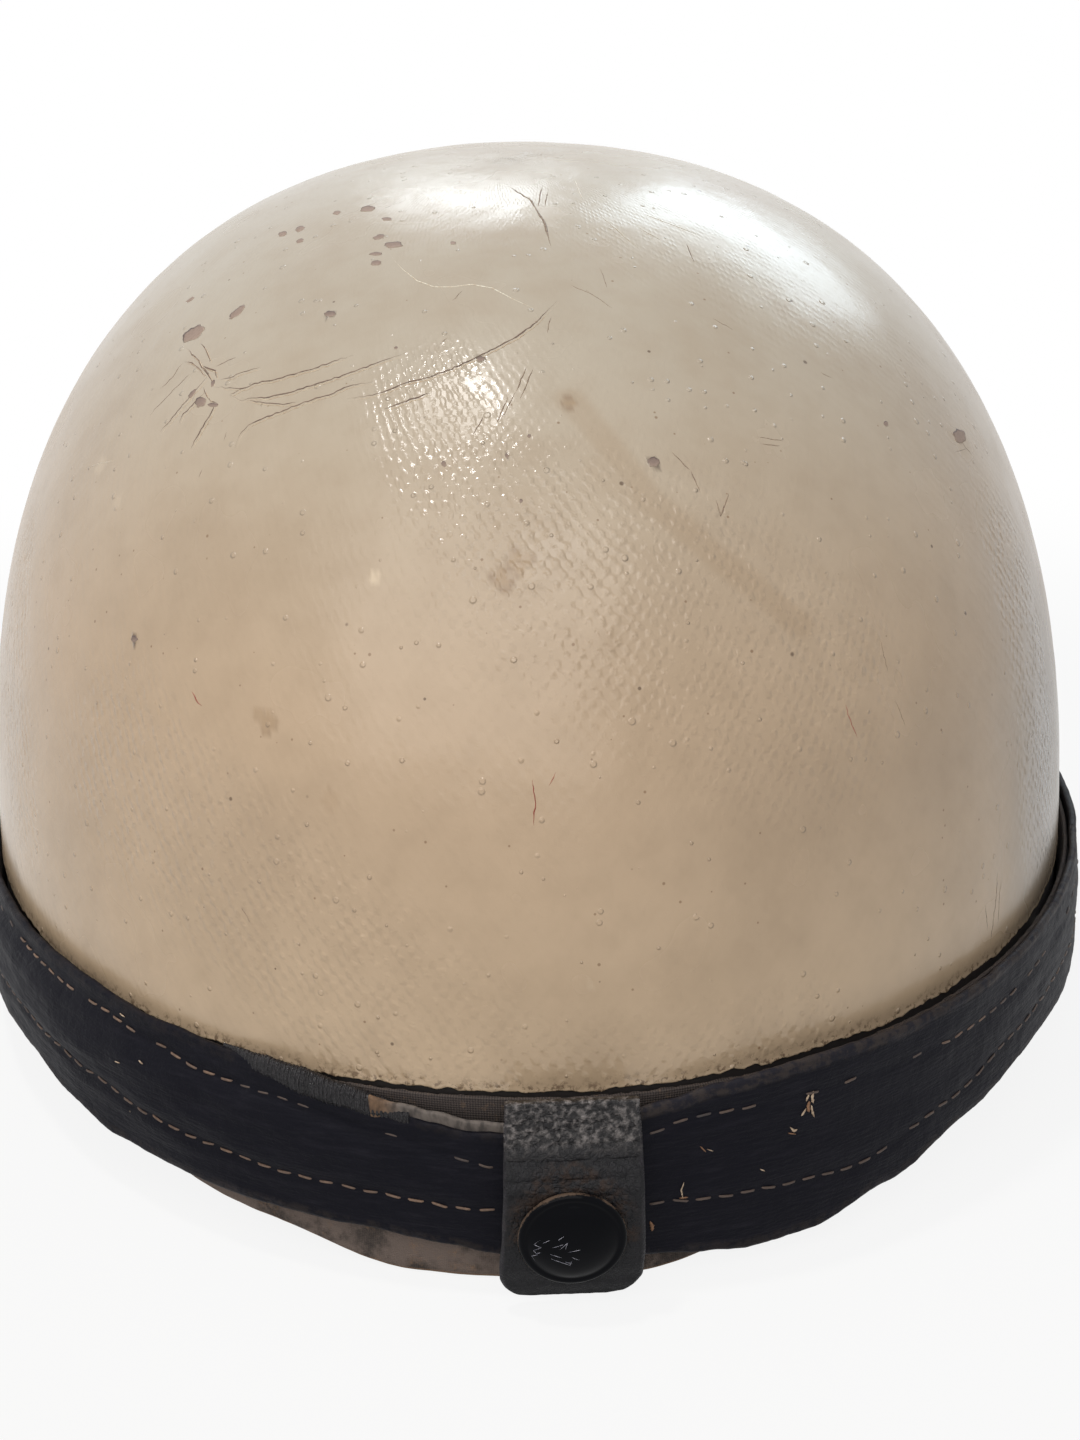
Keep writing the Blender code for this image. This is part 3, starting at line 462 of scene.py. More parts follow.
def makeClothGroup():
    # pits between the threads of the glass cloth, in a lattice that leans a little
    group, n, given, out = newGroup("clothPits", "Height", Place=None, Across=2.9, Up=1.7, Drift=0.3)
    drift = n.add("ShaderNodeTexNoise", Vector=given["Place"], Scale=0.22, Detail=2.0).outputs["Color"]
    centred = n.add("ShaderNodeVectorMath", _operation="SUBTRACT", i0=drift, i1=(0.5, 0.5, 0.5)).outputs[0]
    moved = n.add("ShaderNodeVectorMath", _operation="SCALE", i0=centred, Scale=n.times(given["Drift"], 8.0))
    spot = n.add("ShaderNodeVectorMath", _operation="ADD", i0=given["Place"], i1=moved.outputs[0]).outputs[0]
    parts = n.add("ShaderNodeSeparateXYZ", Vector=spot).outputs
    across = n.over(n.times(parts[0], 2 * pi), given["Across"])
    up = n.over(n.times(parts[1], pi), given["Up"])
    rising = n.math("COSINE", n.minus(across, up))
    falling = n.math("COSINE", n.plus(across, up))
    both = n.plus(n.times(rising, 0.6), n.times(falling, 0.4))
    n.put(n.ramp(both, -0.55, 0.95), out)
    return group


def makeGrainGroup():
    # creased leather grain: cells with soft valleys, and long fine wrinkles
    group, n, given, out = newGroup("leatherGrain", "Height", Place=None, Size=1.0, Crease=0.5)
    density = n.over(1000.0, given["Size"])
    cells = n.add("ShaderNodeTexVoronoi", _feature="DISTANCE_TO_EDGE", Vector=given["Place"], Scale=density)
    fine = n.noise(given["Place"], n.times(density, 0.55), 5.0, 0.62, 0.6)
    valley = n.ramp(cells.outputs[0], 0.0, 0.22)
    crease = n.ramp(n.math("ABSOLUTE", n.minus(fine, 0.5)), 0.0, 0.07)
    n.put(n.plus(n.times(valley, n.minus(1.0, given["Crease"])), n.times(crease, given["Crease"])), out)
    return group


def makeWearGroup():
    # patchy wear: broad patches broken up by fine ones, stronger where Edge is high
    group, n, given, out = newGroup("patchyWear", "Mask", Place=None, Size=12.0, Edge=0.0, Amount=0.5)
    density = n.over(1000.0, given["Size"])
    broad = n.noise(given["Place"], density, 3.0)
    fine = n.noise(given["Place"], n.times(density, 9.0), 4.0, 0.7)
    both = n.plus(n.times(broad, 0.6), n.times(fine, 0.4))
    raised = n.plus(both, n.times(given["Edge"], 0.35))
    level = n.minus(0.82, n.times(given["Amount"], 0.4))
    n.put(n.ramp(n.minus(raised, level), -0.05, 0.12), out)
    return group


def makeSpeckGroup():
    # scattered specks of uneven size: most cells hold none
    group, n, given, out = newGroup("specks", "Mask", Place=None, Spacing=5.0, Radius=0.3, Share=0.3)
    cells = n.add("ShaderNodeTexVoronoi", Vector=given["Place"], Scale=n.over(1000.0, given["Spacing"]))
    draw = n.add("ShaderNodeSeparateColor", Color=cells.outputs["Color"]).outputs
    kept = n.math("LESS_THAN", draw[0], given["Share"])
    size = n.times(n.over(given["Radius"], given["Spacing"]), n.plus(0.5, draw[1]))
    near = n.minus(1.0, n.over(cells.outputs["Distance"], size), clamp=True)
    n.put(n.times(n.ramp(near, 0.0, 0.5), kept), out)
    return group


def makeTwillGroup():
    # threads that cross on the slant
    group, n, given, out = newGroup("crossedThreads", "Weave", Along=0.0, Height=0.0, Density=6.5)
    rising = n.math("SINE", n.times(n.plus(given["Along"], given["Height"]), given["Density"]))
    falling = n.math("SINE", n.times(n.minus(given["Along"], given["Height"]), given["Density"]))
    n.put(n.plus(n.times(n.times(rising, falling), 0.5), 0.5), out)
    return group


groups = {
    "twill": makeTwillGroup(),
    "cloth": makeClothGroup(),
    "grain": makeGrainGroup(),
    "wear": makeWearGroup(),
    "specks": makeSpeckGroup(),
}


# painted shell

shell = {
    "rearColumns": 540,
    "frontColumns": 150,
    "domeRows": 190,
    "bottomZ": float(shellLow.z),
    "wall": 3 * mm,
    "paintDepth": 0.3 * mm,      # the step at the paint's lower edge
    "unevenness": 0.12 * mm,     # laid by hand
    "weaveBase": 0.14,
    "firstDomeRow": 1.8 * mm,    # above the lip's own rows
    # rows below and above the paint's edge in millimetres: falls, then rises with their outsets
    "skirtFalls": (-30, -24, -18, -12, -8, -5, -3.2, -2.0, -1.2, -0.6, -0.25, -0.06),
    "lip": ((0.0, 0.0), (0.10, 0.10), (0.30, 0.10), (0.60, 0.03), (1.0, 0.0)),
    "innerRows": 26,
    "cream": linear(199, 174, 145),
    # painted light: a cooler, greyer cream for the crown, as under cool light from above
    "creamCoolTopLight": linear(188, 178, 160),
    # painted light: a lighter cream for the lower dome
    "creamPaintedLightLow": linear(210, 185, 154),
    "creamDirty": linear(160, 137, 110),
    "tan": linear(158, 128, 92),
    "tanRim": linear(120, 86, 52),
    "speck": linear(84, 62, 42),
    "grit": linear(92, 70, 54),
    # painted shade: a darker grey-brown laid on the paint towards the wearer's right edge
    "paintedRightShade": linear(126, 114, 98),
    "scuff": linear(205, 192, 172),
    "darkDot": linear(70, 54, 40),
    "paleSpot": linear(226, 207, 178),
    "lipColour": linear(214, 192, 160),
    # how far the painted shade on the right side reaches, in millimetres
    "paintedRightShadeStrength": 0.85,
    "paintedRightShadeFromX": 78,
    "paintedRightShadeSpanX": 22,
    "paintedRightShadeTopZ": 125,
    "paintedRightShadeSpanZ": 60,
    "paintedRightShadeSpanY": 50,
    "roughness": 0.25,
    "pitDepth": 0.14 * mm,
}

# flat marks on the paint: pixel of the photograph, radius in millimetres, strength
stains = [
    (520, 562, 1.9, 0.7), (501, 579, 1.5, 0.8), (268, 722, 1.5, 0.75), (568, 403, 1.0, 0.8),
    (258, 714, 1.0, 0.6), (330, 800, 1.3, 0.3), (610, 640, 1.2, 0.2), (447, 468, 1.5, 0.2),
]
darkDots = [
    (654, 462, 1.0, 1.0), (134, 639, 0.9, 1.0), (330, 315, 0.9, 1.0), (480, 358, 0.7, 1.0),
    (190, 335, 1.3, 0.5), (237, 312, 1.1, 0.5), (507, 456, 0.4, 0.8), (521, 501, 0.4, 0.8),
]
paleSpots = [(374, 579, 1.0, 0.9), (100, 466, 1.8, 0.35), (118, 500, 1.2, 0.3), (590, 985, 0.8, 0.3)]
scuffs = [
    (960, 440, 3.5, 0.8), (770, 437, 2.2, 0.6), (930, 490, 4.0, 0.5), (905, 640, 5.0, 0.5),
    (915, 700, 4.5, 0.45), (545, 215, 4.0, 0.5), (690, 240, 6.0, 0.5), (205, 385, 6.0, 0.6),
    (437, 415, 7.0, 0.9),
]
# smears along routes of pixels, with their widths in millimetres and strengths
routes = {
    "scuff": [([(893, 610), (886, 680), (905, 725), (925, 690), (918, 620)], 3.0, 0.5)],
    "smear": [([(570, 400), (650, 500), (720, 560), (800, 625)], 4.5, 0.8), ([(600, 470), (690, 530)], 5.5, 0.45)],
    "weave": [([(540, 560), (680, 600), (800, 690)], 40, 0.7), ([(425, 385), (445, 470), (520, 520)], 18, 0.8),
              ([(120, 760), (260, 900), (420, 1040)], 30, 0.75), ([(520, 1060), (800, 1030)], 16, 0.5),
              ([(1010, 560), (1040, 800)], 22, 0.9), ([(20, 560), (20, 800)], 22, 0.5)],
}


def markStrength(places, marks, ragged=0.35, edge=0.35):
    # how strongly each place on the shell is covered by a list of marks
    total = np.zeros(len(places))
    for photoX, photoY, radius, strength in marks:
        centre = np.array(onShell(photoX, photoY))
        gap = np.linalg.norm(places - centre, axis=1) / mm
        close = np.nonzero(gap < radius * 2.2)[0]
        for k in close:
            size = radius * (1 + ragged * 1.6 * noise.noise(Vector(places[k]) / (radius * 0.8 * mm)))
            total[k] = max(total[k], strength * float(smooth((size - gap[k]) / (edge * radius) + 0.5)))
    return total


def bandStrength(places, route, width, strength):
    # a smear along a route of pixels, width in millimetres
    total = np.zeros(len(places))
    points = [np.array(onShell(*p)) for p in route]
    for a, b in zip(points, points[1:]):
        run = b - a
        along = np.clip((places - a) @ run / (run @ run), 0, 1)
        gap = np.linalg.norm(places - (a + along[:, None] * run), axis=1) / mm
        total = np.maximum(total, strength * smooth(1.6 - gap / (width / 2)))
    return total


def shellRows(angles):
    # positions row by row from the bottom edge to the crown, and the first painted row
    ragged = unevenness(angles, 0, (0.45, 9, 2, 0.0), (0.55, 2.4, 3, 3.1)) * mm
    edge = form["paintLineZ"] + ragged
    x, y = planXY(angles, -shell["paintDepth"])
    levels = [np.full(len(angles), shell["bottomZ"])]
    levels += [edge + fall * mm - ragged * (1 - exp(fall / 3)) for fall in shell["skirtFalls"]]
    rows = [np.stack([x, y, trimZ(angles, z)], 1) for z in levels]
    for rise, outset in shell["lip"]:
        level = edge + rise * mm - ragged * (1 - exp(-rise / 3))
        height = np.clip((level - form["paintLineZ"]) / form["domeHeight"], 0, 1)
        share, _ = domeAt(np.arcsin(height ** (form["domePower"] / 2)))
        rows.append(np.stack([*drawnIn(*planXY(angles, outset * mm), share), level], 1))
    x, y = planXY(angles)
    tilts = np.linspace(0, pi / 2, 500)[:-1]
    shares, rises = domeAt(tilts)
    runs = [pathLengths(np.stack([shares * reach, rises * form["domeHeight"]], 1))
            for reach in np.hypot(x, y - form["centreY"])]
    first = shell["firstDomeRow"]
    for k in range(shell["domeRows"]):
        part = k / shell["domeRows"]
        share, rise = domeAt(np.array([np.interp(first + (run[-1] - first) * part, run, tilts) for run in runs]))
        rows.append(np.stack([*drawnIn(x, y, share), form["paintLineZ"] + form["domeHeight"] * rise], 1))
    return rows, len(levels)


def makeShell():
    angles = roundAngles(shell["rearColumns"], shell["frontColumns"], 90)
    rows, paintRow = shellRows(angles)
    columns = len(angles)
    places = np.concatenate(rows)
    count = len(places)
    bumps = np.array([fractal(p, 24 * mm, 3) + 0.35 * fractal(p, 7 * mm, 2, 1.3) for p in places])
    outward = np.array([shellNormal(Vector(p)) for p in places])
    bumps[:paintRow * columns] = 0
    places = places + outward * (bumps * shell["unevenness"])[:, None]

    verts = [Vector(p) for p in places]
    faces = gridFaces(len(rows), columns, closedAcross=True)
    faces += fanFaces(count, count - columns, columns)
    verts.append(Vector((0, form["centreY"], form["crownZ"])))

    # the inner face, with the same columns, joined at the bottom edge
    start, innerRows = count + 1, shell["innerRows"]
    x, y = planXY(angles, -shell["wall"])
    for k in range(innerRows):
        share, rise = domeAt(pi / 2 * max(k - 1, 0) / (innerRows - 1))
        z = np.full(columns, form["paintLineZ"] + (form["domeHeight"] - shell["wall"]) * rise)
        if k == 0:
            z = trimZ(angles, np.full(columns, shell["bottomZ"]))
        verts += [Vector(p) for p in np.stack([*drawnIn(x, y, share), z], 1)]
    faces += [face[::-1] for face in gridFaces(innerRows, columns, closedAcross=True, offset=start)]
    faces += fanFaces(len(verts), len(verts) - columns, columns, flip=True)
    verts.append(Vector((0, form["centreY"], form["crownZ"] - shell["wall"])))
    faces += [(start + c, start + (c + 1) % columns, (c + 1) % columns, c) for c in range(columns)]

    piece = addPiece("painted_shell", verts, faces, [paintMaterial(), skirtMaterial(), insideMaterial()])
    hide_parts("shell")

    # paint over the dome, the black skirt below it and bare glass cloth inside
    outerFaces = (len(rows) - 1) * columns
    skin = np.full(len(piece.data.polygons), 2, np.int32)
    skin[:outerFaces + columns] = 0
    skin[:paintRow * columns] = 1
    piece.data.polygons.foreach_set("material_index", skin)

    # cloth coordinates in millimetres: round the helmet, and up over it
    acrossLength = pathLengths(np.concatenate([rows[paintRow], rows[paintRow][:1]])) / mm
    upLength = np.zeros((len(rows), columns))
    for r in range(1, len(rows)):
        upLength[r] = upLength[r - 1] + np.linalg.norm(rows[r] - rows[r - 1], axis=1) / mm
    cloth = piece.data.uv_layers.new(name="cloth")
    loopVerts = np.zeros(len(piece.data.loops), np.int64)
    piece.data.loops.foreach_get("vertex_index", loopVerts)
    u, v = np.zeros(len(loopVerts)), np.zeros(len(loopVerts))
    outer = loopVerts < count
    u[outer] = acrossLength[loopVerts[outer] % columns]
    v[outer] = upLength.reshape(-1)[loopVerts[outer]]
    faceOf = np.repeat(np.arange(len(piece.data.polygons)), [p.loop_total for p in piece.data.polygons])
    wrap = outer & (faceOf % columns == columns - 1) & (faceOf < outerFaces) & (loopVerts % columns == 0)
    u[wrap] = acrossLength[-1]
    cloth.data.foreach_set("uv", np.stack([u, v], 1).reshape(-1).astype(np.float32))

    # what has happened to the paint on the rear half, and painted shade on its right side
    at = np.nonzero(places[:, 1] > 0.0)[0]
    near = places[at]
    layers = {
        "stain": markStrength(near, stains),
        "stainRim": markStrength(near, [(x, y, r * 1.25, s) for x, y, r, s in stains]),
        "darkDot": markStrength(near, darkDots, 0.3, 0.4),
        "paleSpot": markStrength(near, paleSpots),
        "scuff": np.maximum(markStrength(near, scuffs, 0.6, 1.2), bandStrength(near, *routes["scuff"][0])),
        "smear": np.maximum(*[bandStrength(near, *smear) for smear in routes["smear"]]),
        # painted shade: the paint darkened towards the wearer's right side, below the crown, on the rear half
        "paintedRightShade": (shell["paintedRightShadeStrength"] * smooth((-near[:, 0] / mm - shell["paintedRightShadeFromX"]) / shell["paintedRightShadeSpanX"])
                  * smooth((shell["paintedRightShadeTopZ"] - near[:, 2] / mm) / shell["paintedRightShadeSpanZ"])
                  * smooth(near[:, 1] / mm / shell["paintedRightShadeSpanY"])),
        "weave": np.clip(sum((bandStrength(near, *smear) for smear in routes["weave"]), shell["weaveBase"]), 0, 1),
    }
    for name, values in layers.items():
        whole = np.full(len(verts), shell["weaveBase"] if name == "weave" else 0.0)
        whole[at] = values
        setFloats(piece, name, whole)
    lip = np.zeros(len(verts))
    for r, share in ((paintRow, 1.0), (paintRow + 1, 1.0), (paintRow + 2, 0.7), (paintRow + 3, 0.3)):
        lip[r * columns:(r + 1) * columns] = share
    setFloats(piece, "lip", lip)
    foot = np.zeros(len(verts))
    above = smooth(1 - (upLength - upLength[paintRow]) / 3.2)
    above[:paintRow] = 0
    foot[:count] = above.reshape(-1)
    setFloats(piece, "foot", foot)
    return piece


def paintMaterial():
    n, where = newMaterial("agedCreamPaint")
    cloth = n.add("ShaderNodeUVMap", _uv_map="cloth").outputs[0]
    height = n.add("ShaderNodeSeparateXYZ", Vector=where).outputs[2]
    # painted light: the paint made cooler and greyer towards the crown
    colour = n.mix(n.ramp(height, 0.09, 0.165), shell["cream"], shell["creamCoolTopLight"])
    # painted light: the paint made lighter towards its lower edge
    colour = n.mix(n.ramp(height, 0.035, 0.085, 1.0, 0.0), colour, shell["creamPaintedLightLow"])
    clouds = n.noise(where, 28, 4.0, 0.6)
    colour = n.mix(n.ramp(clouds, 0.35, 0.75, 0.0, 0.32), colour, shell["creamDirty"])
    mottle = n.noise(where, 160, 2.0, 0.5)
    colour = n.mix(n.ramp(mottle, 0.35, 0.8, 0.0, 0.16), colour, shell["creamDirty"])
    pits = n.group("cloth", Place=cloth)
    weave = n.attribute("weave")
    patchy = n.ramp(n.noise(where, 330, 3.0, 0.6), 0.34, 0.6)
    woven = n.times(n.times(pits, weave), patchy)
    stain, scuff, hollow = n.attribute("stain"), n.attribute("scuff"), n.attribute("darkDot")
    specks = n.group("specks", Place=where, Spacing=7.0, Radius=0.42, Share=0.3)
    fineSpecks = n.group("specks", Place=where, Spacing=2.8, Radius=0.26, Share=0.28)
    for mask, strength, tint in (
        (woven, 0.10, shell["creamDirty"]), (n.attribute("smear"), 0.30, shell["tan"]), (stain, 0.6, shell["tan"]),
        (n.minus(n.attribute("stainRim"), stain, clamp=True), 0.55, shell["tanRim"]),
        (scuff, 0.12, shell["scuff"]), (n.attribute("paintedRightShade"), 1.0, shell["paintedRightShade"]), (specks, 0.75, shell["speck"]),
        (fineSpecks, 0.6, shell["tanRim"]), (hollow, 0.85, shell["darkDot"]),
        (n.attribute("paleSpot"), 0.7, shell["paleSpot"]), (n.attribute("lip"), 0.6, shell["lipColour"]),
    ):
        colour = n.mix(n.times(mask, strength), colour, tint)
    grit = n.times(n.attribute("foot"), n.ramp(n.noise(where, 800, 4.0, 0.7), 0.5, 0.62))
    colour = n.mix(n.times(grit, 0.8), colour, shell["grit"])
    patches = n.noise(where, 45, 2.0, 0.5)
    rough = n.ramp(patches, 0.3, 0.8, shell["roughness"] - 0.02, shell["roughness"] + 0.06)
    rough = n.plus(rough, n.times(scuff, 0.16))
    rough = n.minus(rough, n.times(weave, 0.05))
    normal = n.bump(n.minus(1.0, woven), shell["pitDepth"])
    nibs = n.group("specks", Place=where, Spacing=3.2, Radius=0.5, Share=0.42)
    peel = n.noise(where, 700, 2.0, 0.5)
    normal = n.bump(peel, 0.03 * mm, 0.6, normal)
    normal = n.bump(nibs, 0.22 * mm, 0.9, normal)
    return n.finish(colour, rough, normal=n.bump(n.minus(1.0, hollow), 0.2 * mm, 0.8, normal))


def skirtMaterial():
    n, where = newMaterial("blackSkirt")
    worn = n.group("wear", Place=where, Size=6.0, Amount=0.35)
    return n.finish(n.mix(worn, linear(34, 30, 29), linear(92, 78, 66)), 0.6,
                    normal=n.bump(n.noise(where, 900, 4.0, 0.7), 0.15 * mm, 0.7))


def insideMaterial():
    n, where = newMaterial("bareGlassInside")
    pits = n.group("cloth", Place=n.scaled(where, 1000.0, 1000.0, 1000.0), Across=3.4, Up=2.0)
    resin = n.mix(n.noise(where, 35, 4.0), linear(122, 96, 58), linear(88, 70, 44))
    return n.finish(n.mix(n.times(pits, 0.35), resin, linear(60, 46, 28)), 0.45,
                    normal=n.bump(pits, 0.15 * mm, 0.8))


paintedShell = makeShell()
print("shell painted")


# cracks, scratches and chips in the paint, placed by pixels of the photograph

cracks = {
    "colour": linear(104, 84, 72),
    "pale": linear(214, 197, 170),
    "height": 0.045,             # millimetres above the paint
    # width in millimetres, then the route
    "lines": [
        (0.26, (214, 387), (242, 389), (254, 384), (294, 374), (353, 355)),
        (0.22, (230, 395), (242, 389)),
        (0.26, (230, 396), (240, 400), (265, 397.5), (290, 392), (335, 378), (406, 353)),
        (0.22, (247, 400.5), (265, 403), (283, 404.5), (296, 402)),
        (0.26, (373, 381), (352, 385), (333, 393), (304, 402), (279, 412), (260, 420), (245, 428), (239, 437),
         (235, 448)),
        (0.20, (220, 380), (233, 377), (240, 373), (260, 367)),
        (0.30, (347, 399), (376, 394), (406, 383.5), (429, 377), (447, 371), (476, 358), (501, 345), (520, 335),
         (540, 319), (557, 301)),
        (0.28, (384, 409), (406, 401), (418, 397), (431, 393)),
        (0.30, (187, 348), (195, 357), (202, 366), (211, 378), (214, 386)),
        (0.22, (201, 343), (206, 351), (210, 358), (209, 362)),
        (0.26, (202, 366), (215, 370), (217, 378)),
        (0.26, (184, 362), (192, 363), (201, 371), (206, 376)),
        (0.28, (209, 374), (199, 386), (188, 399), (160, 433)),
        (0.22, (203, 387), (207, 396), (211, 402), (217, 403)),
        (0.34, (217, 403), (207, 419), (199, 433), (191, 449)),
        (0.26, (205, 393), (195, 402), (184, 414), (179, 424)),
        (0.18, (183, 362), (172, 377), (160, 389)),
        (0.16, (192, 373), (176, 387), (150, 415)),
        (0.16, (216, 367), (236, 357)),
        (0.16, (227, 433), (224, 441)),
        (0.16, (203, 469), (199, 478)),
    ],
    "scratches": [
        (0.20, (526, 367), (516, 392)), (0.20, (533, 369), (520, 400)), (0.22, (508, 397), (496, 424)),
        (0.20, (516, 392), (501, 420)), (0.20, (483, 417), (473, 435)), (0.16, (586, 290), (612, 308)),
        (0.16, (551, 317), (547, 333)), (0.14, (448, 337), (440, 345)), (0.14, (463, 291), (452, 301)),
        (0.45, (506, 185), (529, 198), (543, 219), (551, 246)), (0.24, (542, 187), (538, 207)),
        (0.22, (548, 190), (545, 205)), (0.22, (716, 500), (721, 516), (729, 493)), (0.24, (721, 516), (724, 505)),
        (0.30, (998, 870), (995, 905), (990, 945)), (0.22, (1001, 880), (997, 925)), (0.18, (985, 905), (987, 930)),
        (0.22, (686, 243), (694, 262)), (0.18, (690, 470), (700, 492)), (0.18, (672, 452), (690, 470)),
        (0.16, (757, 437), (783, 441)), (0.14, (760, 444), (780, 446)), (0.14, (950, 430), (962, 445)),
        (0.14, (955, 452), (970, 447)), (0.12, (958, 436), (972, 455)), (0.14, (880, 640), (888, 672)),
        (0.12, (895, 700), (905, 726)), (0.12, (240, 905), (252, 925)), (0.12, (600, 268), (607, 288)),
        (0.12, (820, 372), (832, 378)), (0.12, (712, 318), (733, 330)), (0.12, (570, 285), (590, 294)),
    ],
    "red": [
        (0.34, (192, 692), (196, 700), (202, 706)), (0.22, (533, 780), (535, 800), (534, 826)),
        (0.20, (845, 705), (850, 720), (857, 738)), (0.16, (556, 772), (549, 786)),
    ],
    "redColour": linear(150, 70, 56),
    "hair": [(0.27, (392, 258), (402, 269), (417, 281), (434, 287), (451, 287), (472, 284.5), (492, 288), (511, 298),
              (533, 308))],
    "hairColour": linear(246, 240, 220),
    # painted glints: scratches painted near white where they catch the light
    "glints": [(0.16, (86, 468), (100, 463), (114, 461)), (0.14, (636, 226), (660, 240)),
               (0.14, (640, 212), (700, 236)), (0.12, (600, 215), (640, 250)), (0.12, (575, 180), (583, 200))],
}

# centre and half sizes in pixels, turn in degrees, and how dark the hollow is: partly the colour of the bared layer,
# partly painted shade
chips = [
    (193, 334, 13.5, 6.0, 36, 0.35), (237, 312, 10.0, 3.4, 42, 0.45), (330, 314, 6.2, 3.2, 4, 0.95),
    (201, 402, 6.5, 5.2, 40, 0.7), (213, 383, 2.0, 4.0, -20, 0.9), (192, 394, 6.0, 2.2, 50, 0.75),
    (213, 405, 5.2, 2.4, 0, 0.9), (396, 348, 1.8, 1.6, 0, 0.9), (481, 359, 4.6, 2.8, 8, 0.95),
    (368, 209, 8.0, 3.4, 6, 0.5), (387, 219, 5.2, 2.2, 2, 0.6), (379, 237, 6.0, 2.4, 12, 0.6),
    (393, 245, 10.0, 3.6, 2, 0.6), (376, 254, 6.6, 2.0, 2, 0.7), (376, 263, 5.6, 3.0, 6, 0.65),
    (283, 234, 4.6, 2.6, 18, 0.4), (300, 229, 5.4, 2.8, 20, 0.35), (300, 241, 4.0, 2.2, 18, 0.4),
    (337, 213, 4.4, 2.2, 12, 0.35), (190, 300, 5.0, 1.6, 35, 0.25), (654, 462, 6.6, 5.2, 8, 0.85),
    (134, 639, 3.4, 3.8, 0, 1.0), (529, 436, 2.2, 2.0, 0, 0.8), (453, 243, 3.0, 2.0, 0, 0.4),
    (507, 456, 1.8, 2.6, 20, 0.8), (521, 501, 1.8, 2.2, 0, 0.8), (444, 464, 2.6, 3.4, 20, 0.6),
    (886, 424, 2.4, 3.0, 20, 0.5), (960, 436, 6.0, 8.5, 30, 0.3),
]
chipLook = {
    "sides": 22,
    "rings": ((1.0, 0.0), (0.84, 0.04), (0.7, 0.045), (0.35, 0.045)),      # reach, height in millimetres
    "root": 0.12,
    "floor": linear(172, 150, 136),
    # the bared layer's own dark, and painted shade in the hollow
    "deep": linear(84, 72, 70),
    "grain": linear(132, 112, 96),
}


def surfaceAt(photoX, photoY):
    # the finished paint under a pixel, and the direction out of it
    guess = onShell(photoX, photoY)
    found, place, normal, _ = paintedShell.closest_point_on_mesh(guess)
    return (place if found else guess), shellNormal(guess)


def paintTrails(lines, seed, ragged=0.7):
    draw = random.Random(seed)
    trails = []
    for width, *route in lines:
        spots = []
        for (x0, y0), (x1, y1) in zip(route, route[1:]):
            steps = max(2, int(hypot(x1 - x0, y1 - y0) / 4))
            for k in range(steps):
                share = k / steps
                spots.append((x0 + (x1 - x0) * share + draw.uniform(-ragged, ragged),
                              y0 + (y1 - y0) * share + draw.uniform(-ragged, ragged)))
        spots.append(route[-1])
        found = [surfaceAt(*spot) for spot in spots]
        trails.append(([place for place, _ in found], [normal for _, normal in found], width * mm,
                       cracks["height"] * mm))
    return trails


def mottled(name, colour, other, roughness, density, most=1.0, depth=0.0):
    n, where = newMaterial(name)
    mixed = n.mix(n.ramp(n.noise(where, density, 3.0), 0.35, 0.65, 0.0, most), colour, other)
    normal = n.bump(n.noise(where, 2200, 2.0), depth * mm, 0.6) if depth else None
    return n.finish(mixed, roughness, normal=normal)


def flatMark(name, colour, other, roughness):
    return mottled(name, colour, other, roughness, 1400, depth=0.03)


def makeMarks():
    dark = flatMark("crackedPaint", cracks["colour"], linear(136, 114, 98), 0.7)
    sets = [
        ("paint_cracks", cracks["lines"], dark, 3, 0.7),
        ("paint_scratches", cracks["scratches"],
         flatMark("scratchedPaint", linear(124, 102, 86), linear(160, 140, 118), 0.6), 5, 0.5),
        ("red_rubs", cracks["red"], flatMark("redRub", cracks["redColour"], linear(176, 120, 98), 0.6), 7, 0.9),
        ("pale_fibre", cracks["hair"], flatMark("paleFibre", cracks["hairColour"], cracks["pale"], 0.5), 9, 0.0),
        # painted glints: scratches painted near white where they catch the light
        ("scratch_glints", cracks["glints"],
         flatMark("paintedScratchGlint", linear(228, 220, 204), cracks["pale"], 0.4), 11, 0.3),
    ]
    for name, lines, material, seed, ragged in sets:
        addRibbons(name, paintTrails(lines, seed, ragged), material, "root", seed)
    # painted highlight: a pale ribbon beside each of the first sixteen cracks, set a little down and right, as the lit
    # side of a lifted paint edge
    crackHighlightRoutes = [(width * 0.9, *[(x + 1.6, y + 1.9) for x, y in route]) for width, *route in cracks["lines"][:16]]
    pale = flatMark("crackEdgeHighlight", cracks["pale"], shell["cream"], 0.35)
    addRibbons("crack_edge_highlights", paintTrails(crackHighlightRoutes, 3, 0.7), pale, "root", 13)


